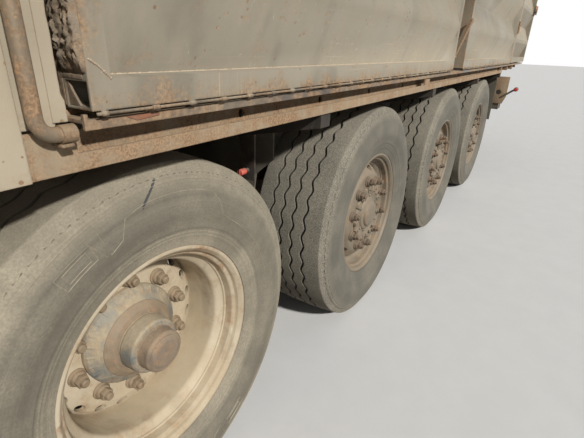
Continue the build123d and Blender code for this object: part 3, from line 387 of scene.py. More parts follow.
@dataclass(frozen=True)
class Painted(Finish):
    """Painted or bare steel, under dust and with rust where it is worn.

    Attributes:
        paint: The paint's own colour.
        dust: The colour of the dust on it.
        dustiness: How much dust shows, 0 to 1.
        rustiness: How much rust shows, 0 to 1.
        settle: How much more dust lies on what faces up.
        edge: Width of the worn edges in metres.
        chipped: How much the edges lose their paint.
        gloss: Roughness of the clean paint.
        metal: Metallic value of the clean surface.
        scale: Size of the patterns, 1 on large panels and more on small pieces.
        relief: Height of dents and grit in metres.
        streaky: How much of the dust runs down in streaks.
        spots: How many small rust spots break out.
        scratched: How much pale scratches show.
        rust_scale: How much finer the rust's pattern is than the others.
    """

    paint: Colour = shade(0.30, 0.255, 0.19)
    dust: Colour = shade(0.40, 0.335, 0.24)
    dustiness: float = 0.6
    rustiness: float = 0.2
    settle: float = 0.6
    edge: float = 0.003
    chipped: float = 0.8
    gloss: float = 0.5
    metal: float = 0.0
    scale: float = 1.0
    relief: float = 0.0006
    streaky: float = 0.3
    spots: float = 0.4
    scratched: float = 0.3
    rust_scale: float = 1.0

    def build(self, effects: Effects) -> Material:
        """Layer paint, rust and dust, and roughen them.

        Args:
            effects: The shared shader groups.

        Returns:
            The finished material.
        """
        material, graph = self.start()
        wear = graph.node("ShaderNodeAttribute", attribute_name="wear").outputs["Fac"]
        spread = graph.math("MULTIPLY_ADD", wear, WORN_SPREAD, self.rustiness)
        edges = self.group(graph, effects.edges, Width=self.edge, Break=30.0 * self.scale)
        grime = self.group(graph, effects.grime, Scale=self.scale, Settle=self.settle)
        rust = self.group(graph, effects.rust, Scale=self.scale * self.rust_scale, Spread=spread,
                          Spots=self.spots)
        tone = graph.math("MAXIMUM", graph.ramp(grime["Patch"], 0.35, 0.68),
                          graph.ramp(grime["Smear"], 0.5, 0.66))
        colour = graph.mix(tone, self.paint, scaled(self.paint, 0.72))
        decay = graph.math("MAXIMUM", graph.times(edges["Edge"], self.chipped), rust["Mask"],
                           clamp=True)
        colour = graph.mix(decay, colour, rust["Colour"])
        film = graph.math("MULTIPLY_ADD", graph.ramp(grime["Streak"], 0.45, 0.72), self.streaky,
                          grime["Dust"])
        film = graph.times(film, self.dustiness, clamp=True)
        colour = graph.mix(film, colour, self.dust)
        marks = graph.times(grime["Scratch"], self.scratched)
        rough = graph.math("MAXIMUM", film, decay)
        values = {"Base Color": graph.mix(marks, colour, scaled(self.dust, 1.35)),
                  "Roughness": graph.ramp(rough, 0.0, 0.8, self.gloss, 0.92)}
        if self.metal:
            values["Metallic"] = graph.ramp(rough, 0.1, 0.6, self.metal, 0.0)
        height = graph.plus(graph.times(grime["Patch"], 3.0), graph.times(grime["Grit"], 0.5))
        height = graph.math("SUBTRACT", height, graph.times(decay, 0.4))
        return self.end(material, graph, values, height, self.relief, Normal=edges["Normal"])


@dataclass(frozen=True)
class Rubber(Finish):
    """Tyre or flap rubber, greyed by road dust.

    Attributes:
        dust: The colour of the dust on it.
        dustiness: How much of the black is covered, 0 to 1.
        grit: Height of the grit in metres.
        rings: Whether the piece's UV map holds the turns and the outline of a tyre.
        shoulder: How much more dust lies on a tyre's tread and shoulders than on its side.
        speckled: How much light and dark grit mottles its tread.
    """

    dust: Colour = shade(0.33, 0.29, 0.215)
    dustiness: float = 0.6
    grit: float = 0.0012
    rings: bool = False
    shoulder: float = 0.0
    speckled: float = 0.0

    def build(self, effects: Effects) -> Material:
        """Cover black rubber with dust, less in grooves and on scuffs.

        Args:
            effects: The shared shader groups.

        Returns:
            The finished material.
        """
        material, graph = self.start()
        grime = self.group(graph, effects.grime, Scale=2.2, Settle=0.15)
        film = graph.ramp(grime["Dust"], 0.0, 1.0, 0.66, 1.0)
        film = graph.times(film, graph.ramp(grime["Grit"], 0.3, 0.72, 0.84, 1.07))
        film, height = graph.times(film, self.dustiness, clamp=True), grime["Grit"]
        if self.rings:
            film, height = self._ringed(graph, film, height)
        black = graph.mix(grime["Patch"], shade(0.012, 0.012, 0.012), shade(0.035, 0.034, 0.032))
        values = {"Base Color": graph.mix(film, black, self.dust),
                  "Roughness": graph.ramp(film, 0.0, 0.7, 0.55, 0.95)}
        return self.end(material, graph, values, height, self.grit)

    def _ringed(self, graph: Graph, film: Socket, height: Socket) -> tuple[Socket, Socket]:
        """Draw a tyre's rays and rings in the dust, mottle its tread, and clear its grooves.

        Args:
            graph: The tree that is being built.
            film: How much dust lies on it so far.
            height: The bump's height so far.

        Returns:
            The dust and the bump's height, with what a tyre adds.
        """
        place = graph.node("ShaderNodeUVMap", uv_map="rings").outputs["UV"]
        rays = graph.noise(graph.stretch(place, (240.0, 6.0, 1.0)), 1.0, 4.0, 0.6)
        turns = graph.noise(graph.stretch(place, (5.0, 420.0, 1.0)), 1.0, 3.0, 0.6)
        lines = graph.plus(graph.ramp(rays, 0.35, 0.7, -0.015, 0.015),
                           graph.ramp(turns, 0.35, 0.7, -0.05, 0.05))
        split = graph.node("ShaderNodeSeparateXYZ", {0: place})
        off = graph.math("ABSOLUTE", graph.math("SUBTRACT", split.outputs["Y"], 0.5))
        tread = graph.ramp(off, 0.212, 0.262, 1.0, 0.0)
        grains = graph.noise(graph.here(), 240.0, 3.0, 0.8)
        speckle = graph.times(graph.times(graph.ramp(grains, 0.38, 0.66, -0.26, 0.38), tread),
                              self.speckled)
        film = graph.plus(graph.plus(film, lines), graph.times(tread, self.shoulder))
        film = graph.plus(film, speckle, clamp=True)
        clean = graph.node("ShaderNodeAttribute", attribute_name="clean").outputs["Fac"]
        film = graph.times(film, graph.math("SUBTRACT", 1.0, clean), clamp=True)
        height = graph.plus(height, graph.times(graph.times(grains, tread), 3.0))
        return film, graph.plus(height, graph.times(turns, 0.8))


@dataclass(frozen=True)
class Glazed(Finish):
    """Glass or clear lens, a little dusty.

    Attributes:
        tint: Colour of the glass.
        clarity: Transmission weight.
        dusty: How much dust dims it.
    """

    tint: Colour = shade(0.75, 0.82, 0.80)
    clarity: float = 1.0
    dusty: float = 0.12

    def build(self, effects: Effects) -> Material:
        """Clear glass whose dust roughens it.

        Args:
            effects: The shared shader groups.

        Returns:
            The finished material.
        """
        material, graph = self.start()
        grime = self.group(graph, effects.grime, Scale=1.4, Settle=0.3)
        film = graph.times(grime["Dust"], self.dusty)
        return self.end(material, graph, {
            "Base Color": graph.mix(film, self.tint, shade(0.45, 0.40, 0.32)),
            "Roughness": graph.ramp(film, 0.0, 0.5, 0.03, 0.4), "Transmission Weight": self.clarity,
            "IOR": 1.45})


@dataclass(frozen=True)
class Moulded(Finish):
    """Grained plastic or trim.

    Attributes:
        colour: The plastic's colour.
        dustiness: How much dust shows, 0 to 1.
        grain: Height of the grain in metres.
    """

    colour: Colour = grey(0.03)
    dustiness: float = 0.35
    grain: float = 0.0003

    def build(self, effects: Effects) -> Material:
        """Fine grain under thin dust.

        Args:
            effects: The shared shader groups.

        Returns:
            The finished material.
        """
        material, graph = self.start()
        grime = self.group(graph, effects.grime, Scale=1.8, Settle=0.7)
        cells = graph.node("ShaderNodeTexVoronoi", {"Vector": graph.here(), "Scale": 420.0})
        film = graph.times(grime["Dust"], self.dustiness, clamp=True)
        colour = graph.mix(grime["Patch"], self.colour, scaled(self.colour, 1.5, 0.01))
        values = {"Base Color": graph.mix(film, colour, ROAD_DUST),
                  "Roughness": graph.ramp(film, 0.0, 0.8, 0.45, 0.9)}
        return self.end(material, graph, values, cells.outputs["Distance"], self.grain)


@dataclass(frozen=True)
class Woven(Finish):
    """Seat cloth.

    Attributes:
        colour: The cloth's colour.
        thread: Threads in a metre.
    """

    colour: Colour = shade(0.05, 0.055, 0.065)
    thread: float = 900.0

    def build(self, effects: Effects) -> Material:
        """Crossed threads with a soft sheen.

        Args:
            effects: The shared shader groups.

        Returns:
            The finished material.
        """
        material, graph = self.start()
        grime = self.group(graph, effects.grime, Scale=2.0, Settle=0.3)
        inputs = {"Vector": graph.here(), "Scale": self.thread / 6.0}
        cloth = graph.times(*(graph.node("ShaderNodeTexWave", inputs,
                                         bands_direction=way).outputs["Fac"]
                              for way in ("X", "Y")))
        colour = graph.mix(cloth, self.colour, scaled(self.colour, 2.0, 0.01))
        film = graph.times(grime["Dust"], 0.25)
        values = {"Base Color": graph.mix(film, colour, ROAD_DUST), "Roughness": 0.9,
                  "Sheen Weight": 0.3}
        return self.end(material, graph, values, cloth, 0.0006)


@dataclass(frozen=True)
class Lens(Finish):
    """A coloured lamp lens with moulded flutes.

    Attributes:
        colour: The lens's colour.
        glow: Share of its own colour that it gives out, so it doesn't look black.
    """

    colour: Colour = shade(0.6, 0.02, 0.015)
    glow: float = 0.05

    def build(self, effects: Effects) -> Material:
        """Glossy plastic over fine flutes, with a faint painted glow of its own colour.

        Args:
            effects: The shared shader groups.

        Returns:
            The finished material.
        """
        material, graph = self.start()
        grime = self.group(graph, effects.grime, Scale=3.0, Settle=0.3)
        inputs = {"Vector": graph.here(), "Scale": 24.0}
        flutes = graph.node("ShaderNodeTexWave", inputs, bands_direction="Y").outputs["Fac"]
        film = graph.times(grime["Dust"], 0.4)
        colour = graph.mix(film, self.colour, shade(0.40, 0.33, 0.24))
        values = {"Base Color": colour, "Emission Color": colour, "Emission Strength": self.glow,
                  "Roughness": graph.ramp(film, 0.0, 0.4, 0.12, 0.6)}
        return self.end(material, graph, values, flutes, 0.002)


FINISHES = (
    Painted("body_paint", paint=shade(0.265, 0.235, 0.18), dust=shade(0.40, 0.345, 0.26),
            relief=0.0012, dustiness=0.5, rustiness=0.20, edge=0.005, streaky=0.4, scratched=0.7,
            spots=0.8, rust_scale=2.2),
    Painted("post_paint", paint=shade(0.12, 0.085, 0.055), dustiness=0.4, rustiness=0.62,
            scale=2.0),
    Painted("channel_paint", paint=shade(0.315, 0.25, 0.172), dust=shade(0.42, 0.33, 0.222),
            dustiness=0.42, rustiness=0.51, edge=0.003, scale=2.0, streaky=0.7, rust_scale=1.8),
    Painted("frame_paint", paint=shade(0.045, 0.042, 0.038), dustiness=0.45, rustiness=0.3),
    Painted("floor_steel", paint=shade(0.16, 0.14, 0.12), dustiness=0.45, rustiness=0.45,
            gloss=0.35, metal=0.6),
    Painted("spring_steel", paint=shade(0.06, 0.05, 0.045), dustiness=0.5, rustiness=0.5,
            scale=3.0),
    Painted("axle_iron", paint=shade(0.05, 0.045, 0.04), dustiness=0.55, rustiness=0.45, scale=2.5),
    Painted("engine_iron", paint=shade(0.05, 0.055, 0.06), dustiness=0.5, rustiness=0.25,
            scale=2.0),
    Painted("equipment_paint", paint=shade(0.075, 0.073, 0.07), dustiness=0.45, rustiness=0.2,
            gloss=0.4),
    Painted("cab_paint", paint=shade(0.50, 0.49, 0.46), dust=shade(0.42, 0.36, 0.27),
            dustiness=0.35, rustiness=0.08, gloss=0.28, relief=0.0002, edge=0.006, chipped=0.2,
            streaky=0.4),
    Painted("cabinet_paint", paint=shade(0.43, 0.372, 0.28), dustiness=0.5, rustiness=0.27,
            streaky=0.5, spots=0.9, rust_scale=2.0),
    Painted("pipe_steel", paint=shade(0.18, 0.145, 0.105), dust=shade(0.30, 0.215, 0.13),
            dustiness=0.42, rustiness=0.40, gloss=0.32, scale=3.0, spots=0.8, streaky=0.8),
    Painted("cylinder_paint", paint=shade(0.33, 0.28, 0.21), dustiness=0.45, rustiness=0.25,
            scale=2.0),
    Painted("chrome_rod", paint=shade(0.6, 0.6, 0.6), dustiness=0.15, rustiness=0.05, gloss=0.12,
            metal=1.0, relief=0.0001, chipped=0.0),
    Painted("rim_paint", paint=shade(0.50, 0.43, 0.32), dust=shade(0.47, 0.38, 0.255),
            dustiness=0.6, rustiness=0.3, edge=0.002, scale=3.0, relief=0.0004),
    Painted("hub_paint", paint=shade(0.155, 0.17, 0.17), dust=shade(0.46, 0.375, 0.25),
            dustiness=0.70, rustiness=0.34, edge=0.003, scale=7.0, relief=0.001),
    Painted("rim_worn", paint=shade(0.18, 0.15, 0.112), dust=shade(0.325, 0.265, 0.19),
            dustiness=0.5, rustiness=0.27, edge=0.002, scale=4.0, relief=0.0006),
    Painted("cone_rust", paint=shade(0.215, 0.165, 0.115), dust=shade(0.34, 0.265, 0.18),
            dustiness=0.6, rustiness=0.34, scale=6.0, relief=0.0008),
    Painted("cap_rust", paint=shade(0.20, 0.155, 0.115), dust=shade(0.34, 0.26, 0.18),
            dustiness=0.6, rustiness=0.35, scale=7.0, relief=0.0012, scratched=0.8),
    Painted("nut_dark", paint=shade(0.085, 0.066, 0.05), dust=shade(0.24, 0.18, 0.125),
            dustiness=0.5, rustiness=0.35, edge=0.001, scale=9.0, relief=0.0005),
    # Near-black paint for the outriggers under the side channels: painted shade, where they lie in
    # shadow.
    Painted("dark_steel", paint=shade(0.028, 0.025, 0.022), dust=shade(0.16, 0.13, 0.10),
            dustiness=0.35, rustiness=0.25, chipped=0.3, gloss=0.95),
    Painted("nut_iron", paint=shade(0.20, 0.148, 0.095), dust=shade(0.33, 0.255, 0.17),
            dustiness=0.6, rustiness=0.3, edge=0.001, scale=9.0, relief=0.0005),
    # Pale paint for the welds: partly their own rust and dust, partly a painted highlight along the
    # beads.
    Painted("seam_rust", paint=shade(0.50, 0.41, 0.30), dust=shade(0.58, 0.48, 0.36), dustiness=0.6,
            rustiness=0.35, scale=3.0, spots=0.0),
    Painted("torn_steel", paint=shade(0.20, 0.155, 0.115), dust=shade(0.36, 0.295, 0.215),
            dustiness=0.55, rustiness=0.40, scale=4.0, relief=0.0022),
    Painted("rust_red", paint=shade(0.26, 0.10, 0.055), dustiness=0.2, rustiness=0.3, scale=8.0),
    Painted("blank_plate", paint=shade(0.70, 0.69, 0.65), dustiness=0.3, rustiness=0.02, scale=2.0,
            spots=0.0),
    Rubber("tyre", dust=shade(0.30, 0.275, 0.22), dustiness=0.57, rings=True, grit=0.0006,
           shoulder=0.24, speckled=1.0),
    Rubber("tyre_dusty", dust=shade(0.385, 0.34, 0.257), dustiness=0.82, rings=True, grit=0.0004,
           shoulder=0.10, speckled=0.12),
    Rubber("scuff_black", dust=shade(0.10, 0.105, 0.11), dustiness=0.45, grit=0.0003),
    Rubber("flap_rubber", dustiness=0.5),
    Glazed("glass"),
    Glazed("lamp_glass", tint=shade(0.9, 0.92, 0.95), clarity=0.85, dusty=0.3),
    Lens("red_lens"),
    Lens("amber_lens", colour=shade(0.75, 0.22, 0.01)),
    Moulded("cab_trim"),
    Moulded("dark_trim", colour=grey(0.02), dustiness=0.5),
    Woven("seat_cloth"),
)

NODE_FINISHES = {
    "chassis_rails": "frame_paint", "crossmembers": "frame_paint", "side_channels": "channel_paint",
    # The outriggers take the near-black painted-shade finish.
    "outriggers": "dark_steel", "springs": "spring_steel", "front_axle": "axle_iron",
    "rear_axles": "axle_iron", "driveline": "engine_iron", "frame_equipment": "equipment_paint",
    "front_bumper": "cab_paint", "cabinets": "cabinet_paint", "hydraulic_pipe": "pipe_steel",
    "mudflaps": "flap_rubber", "rear_bar": "frame_paint", "cab_shell": "cab_paint",
    "cab_glass": "glass", "cab_grille": "dark_trim", "bed_floor": "floor_steel",
    "bed_bearers": "post_paint", "headboard": "body_paint", "bed_posts": "post_paint",
    "rear_sides": "body_paint", "tailgate": "body_paint", "cylinder_tube": "cylinder_paint",
    "cylinder_stage_1": "chrome_rod", "cylinder_stage_2": "chrome_rod",
    "cylinder_stage_3": "chrome_rod", "cylinder_stage_4": "chrome_rod", "door_left": "cab_paint",
    "door_right": "cab_paint", "door_glass_left": "glass", "door_glass_right": "glass",
    "knuckle_left": "axle_iron", "knuckle_right": "axle_iron", "drop_side_front_left": "body_paint",
    "drop_side_front_right": "body_paint", "drop_side_rear_left": "body_paint",
    "drop_side_rear_right": "body_paint",
}


# Shapes

def eased(rows: Sequence[Row], steps: int = 4) -> list[Pair]:
    """Round the corners of an open outline.

    Args:
        rows: Points as (a, b), or (a, b, rounding) where the corner is rounded.
        steps: Straight runs in each rounded corner.

    Returns:
        The outline's points, each rounded corner as an arc.
    """
    points = [Vector(row[:2]) for row in rows]
    made: list[Pair] = []
    for index, row in enumerate(rows):
        here = points[index]
        if len(row) < 3 or index in (0, len(rows) - 1):
            made.append((here[0], here[1]))
            continue
        before, after = points[index - 1] - here, points[index + 1] - here
        reach = row[2] / math.tan(before.angle(after) / 2)
        reach = min(reach, before.length * 0.49, after.length * 0.49)
        start, end = here + before.normalized() * reach, here + after.normalized() * reach
        for step in range(steps + 1):
            share = step / steps
            spot = start * (1 - share) ** 2 + here * 2 * share * (1 - share) + end * share ** 2
            made.append((spot[0], spot[1]))
    return made


def crossed(outline: Sequence[Pair], radii: Iterable[float]) -> list[Pair]:
    """Add points to an outline of (y, radius) where its radius passes the given values.

    Args:
        outline: The outline's points.
        radii: The radii to pass.

    Returns:
        The outline with the added points.
    """
    made = [outline[0]]
    for (y0, r0), (y1, r1) in zip(outline, outline[1:]):
        for radius in sorted((value for value in radii if min(r0, r1) < value < max(r0, r1)),
                             reverse=r1 < r0):
            share = (radius - r0) / (r1 - r0)
            made.append((y0 + (y1 - y0) * share, radius))
        made.append((y1, r1))
    return made


def sideways(spots: Sequence[Vector], outs: Sequence[Vector]) -> list[Vector]:
    """The way across a line at each of its points.

    Args:
        spots: The line's points.
        outs: The outward direction at each.

    Returns:
        Directions across the line, in the surface that it lies on.
    """
    last = len(spots) - 1
    return [(spots[min(index + 1, last)] - spots[max(index - 1, 0)]).cross(out).normalized()
            for index, out in enumerate(outs)]


class Form:
    """A mesh in the making, in metres, from blocks, rods, plates and turned shapes."""

    def __init__(self) -> None:
        """Start with nothing."""
        self.work = bmesh.new()

    def _bevel(self, made: Iterable[bmesh.types.BMVert], width: float, segments: int = 2) -> None:
        """Round every edge between the given vertices.

        Args:
            made: The vertices.
            width: The rounding.
            segments: Runs across the rounding.
        """
        if width:
            edges = list({edge for vertex in made for edge in vertex.link_edges})
            bmesh.ops.bevel(self.work, geom=edges, offset=width, segments=segments, profile=0.5,
                            affect="EDGES", clamp_overlap=True)

    def box(self, x: Row, y: Row, z: Row, bevel: float = 0.0,
            turn: Optional[Matrix] = None) -> "Form":
        """Add a block.

        Args:
            x: Low and high x.
            y: Low and high y.
            z: Low and high z.
            bevel: Rounding of its edges.
            turn: A rotation about its middle.

        Returns:
            The form itself, for the next call.
        """
        middle = Vector([(low + high) / 2 for low, high in (x, y, z)])
        size = [high - low for low, high in (x, y, z)]
        turn = turn or Matrix.Identity(4)
        place = Matrix.Translation(middle) @ turn @ Matrix.Diagonal((*size, 1.0))
        self._bevel(bmesh.ops.create_cube(self.work, size=1.0, matrix=place)["verts"], bevel)
        return self

    def rod(self, start: Point, end: Point, radius: float, sides: int = 16,
            tip: Optional[float] = None, bevel: float = 0.0) -> "Form":
        """Add a closed round bar between two points, or a cone where its tip has another radius.

        Args:
            start: The middle of one end.
            end: The middle of the other end.
            radius: Its radius.
            sides: Runs round it.
            tip: Its radius at the end, where that differs.
            bevel: Rounding of its edges.

        Returns:
            The form itself, for the next call.
        """
        line = Vector(end) - Vector(start)
        turn = line.to_track_quat("Z", "Y").to_matrix().to_4x4()
        place = Matrix.Translation((Vector(start) + Vector(end)) / 2) @ turn
        made = bmesh.ops.create_cone(self.work, cap_ends=True, segments=sides, radius1=radius,
                                     radius2=radius if tip is None else tip, depth=line.length,
                                     matrix=place)
        if bevel:
            rims = list({edge for vertex in made["verts"] for edge in vertex.link_edges
                         if any(len(face.verts) > 4 for face in edge.link_faces)})
            bmesh.ops.bevel(self.work, geom=rims, offset=bevel, segments=2, profile=0.5,
                            affect="EDGES")
        return self

    def plate(self, outline: Sequence[Point], along: Point, bevel: float = 0.0) -> "Form":
        """Add a flat outline thickened along a vector.

        Args:
            outline: Its corners.
            along: Where its thickness goes.
            bevel: Rounding of its edges.

        Returns:
            The form itself, for the next call.
        """
        near = [self.work.verts.new(point) for point in outline]
        far = [self.work.verts.new(Vector(point) + Vector(along)) for point in outline]
        self.work.faces.new(near)
        self.work.faces.new(far[::-1])
        for index in range(len(near)):
            after = (index + 1) % len(near)
            self.work.faces.new((near[index], near[after], far[after], far[index]))
        self._bevel(near + far, bevel)
        return self

    def turned(self, rows: Sequence[Pair], centre: Point = (0, 0, 0), segments: int = 48) -> "Form":
        """Add an outline turned about an axis along Y, closed on itself or on the axis.

        Args:
            rows: The outline's points as (y, radius).
            centre: Where the outline's origin lies.
            segments: Runs round the axis.

        Returns:
            The form itself, for the next call.
        """
        rings = []
        for y, radius in rows:
            count = segments if radius > 1e-6 else 1
            ring = []
            for index in range(count):
                turn = math.tau * index / segments
                spot = (radius * math.cos(turn), y, radius * math.sin(turn))
                ring.append(self.work.verts.new([add + part for add, part in zip(centre, spot)]))
            rings.append(ring)
        ends_on_axis = len(rings[0]) == 1 and len(rings[-1]) == 1
        joins = list(zip(rings, rings[1:])) + ([] if ends_on_axis else [(rings[-1], rings[0])])
        for first, second in joins:
            for index in range(segments):
                after = (index + 1) % segments
                corners = [first[index % len(first)], first[after % len(first)],
                           second[after % len(second)], second[index % len(second)]]
                corners = list(dict.fromkeys(corners))
                if len(corners) > 2:
                    self.work.faces.new(corners)
        return self

    def strip(self, spots: Sequence[Vector], across: Sequence[Vector], out: Sequence[Vector],
              width: float, height: float) -> "Form":
        """Add a closed raised line of triangular section along spots on a surface.

        Args:
            spots: Its points.
            across: The way across it at each point.
            out: The way out of the surface at each point.
            width: How wide the line is.
            height: How high it stands.

        Returns:
            The form itself, for the next call.
        """
        rings = []
        for spot, side, lift in zip(spots, across, out):
            corners = (spot + side * width / 2 - lift * FOOT, spot + lift * height,
                       spot - side * width / 2 - lift * FOOT)
            rings.append([self.work.verts.new(corner) for corner in corners])
        for first, second in zip(rings, rings[1:]):
            for index in range(3):
                after = (index + 1) % 3
                self.work.faces.new((first[index], first[after], second[after], second[index]))
        self.work.faces.new(rings[0])
        self.work.faces.new(rings[-1][::-1])
        return self

    def mesh(self, name: str) -> Mesh:
        """The finished mesh, its doubles merged and its faces pointing outwards.

        Args:
            name: The mesh's name.

        Returns:
            The mesh.
        """
        bmesh.ops.remove_doubles(self.work, verts=self.work.verts[:], dist=SAME_SPOT)
        bmesh.ops.recalc_face_normals(self.work, faces=self.work.faces[:])
        return poured(name, self.work)


def swept(name: str, points: Sequence[Point], radius: float, sides: int = 3,
          smooth: bool = True) -> Mesh:
    """A closed round bar bent along points.

    Args:
        name: The mesh's name.
        points: Points of its middle line.
        radius: The bar's radius.
        sides: Resolution of its section.
        smooth: Whether it bends in curves, or runs straight from point to point.

    Returns:
        The bar's mesh.
    """
    curve = bpy.data.curves.new(name, "CURVE")
    curve.dimensions = "3D"
    curve.bevel_depth, curve.bevel_resolution, curve.use_fill_caps = radius, sides, True
    spline = curve.splines.new("NURBS" if smooth else "POLY")
    spline.points.add(len(points) - 1)
    for spot, point in zip(spline.points, points):
        spot.co = (*point, 1.0)
    if smooth:
        spline.order_u, spline.use_endpoint_u = 3, True
        curve.resolution_u = 6
    holder = bpy.data.objects.new(name, curve)
    made = bpy.data.meshes.new_from_object(holder)
    bpy.data.objects.remove(holder)
    bpy.data.curves.remove(curve)
    return made


def linked(name: str, data: bpy.types.ID) -> Piece:
    """Put new data into the scene.

    Args:
        name: The object's name.
        data: Its mesh, lamp or camera.

    Returns:
        The new object.
    """
    made = bpy.data.objects.new(name, data)
    bpy.context.scene.collection.objects.link(made)
    return made


def baked(holder: Piece) -> Mesh:
    """Turn an object with its modifiers into a plain mesh, and remove the object.

    Args:
        holder: The object.

    Returns:
        Its evaluated mesh.
    """
    seen = holder.evaluated_get(bpy.context.evaluated_depsgraph_get())
    made = bpy.data.meshes.new_from_object(seen)
    bpy.data.objects.remove(holder)
    return made


def poured(name: str, work: bmesh.types.BMesh) -> Mesh:
    """Turn a mesh in the making into a plain one.

    Args:
        name: The mesh's name.
        work: What it is made of, which is freed.

    Returns:
        The mesh.
    """
    made = bpy.data.meshes.new(name)
    work.to_mesh(made)
    work.free()
    return made


def opened(mesh: Mesh) -> bmesh.types.BMesh:
    """Copy a CAD node's loose triangles and merge them.

    Args:
        mesh: The node's mesh, which stays as it is.

    Returns:
        The merged copy, still in the making.
    """
    work = bmesh.new()
    work.from_mesh(mesh)
    bmesh.ops.remove_doubles(work, verts=work.verts[:], dist=1e-5)
    return work


def marked(mesh: Mesh, name: str, values: Sequence[float]) -> None:
    """Give a mesh a number at every vertex."""
    mesh.attributes.new(name, "FLOAT", "POINT").data.foreach_set("value", values)


def carved(mesh: Mesh, cutter: Mesh) -> Mesh:
    """A mesh with another one cut out of it.

    Args:
        mesh: The mesh that is cut.
        cutter: The mesh that is cut out of it.

    Returns:
        What is left of the first mesh.
    """
    body, tool = linked(mesh.name, mesh), linked(cutter.name, cutter)
    cut = body.modifiers.new("cut", "BOOLEAN")
    cut.operation, cut.solver, cut.object = "DIFFERENCE", "EXACT", tool
    made = baked(body)
    bpy.data.objects.remove(tool)
    return made


def merged(name: str, parts: Sequence[Mesh]) -> Mesh:
    """One mesh from several.

    Args:
        name: The mesh's name.
        parts: The meshes.

    Returns:
        The mesh.
    """
    work = bmesh.new()
    for part in parts:
        work.from_mesh(part)
    return poured(name, work)


# Repeats

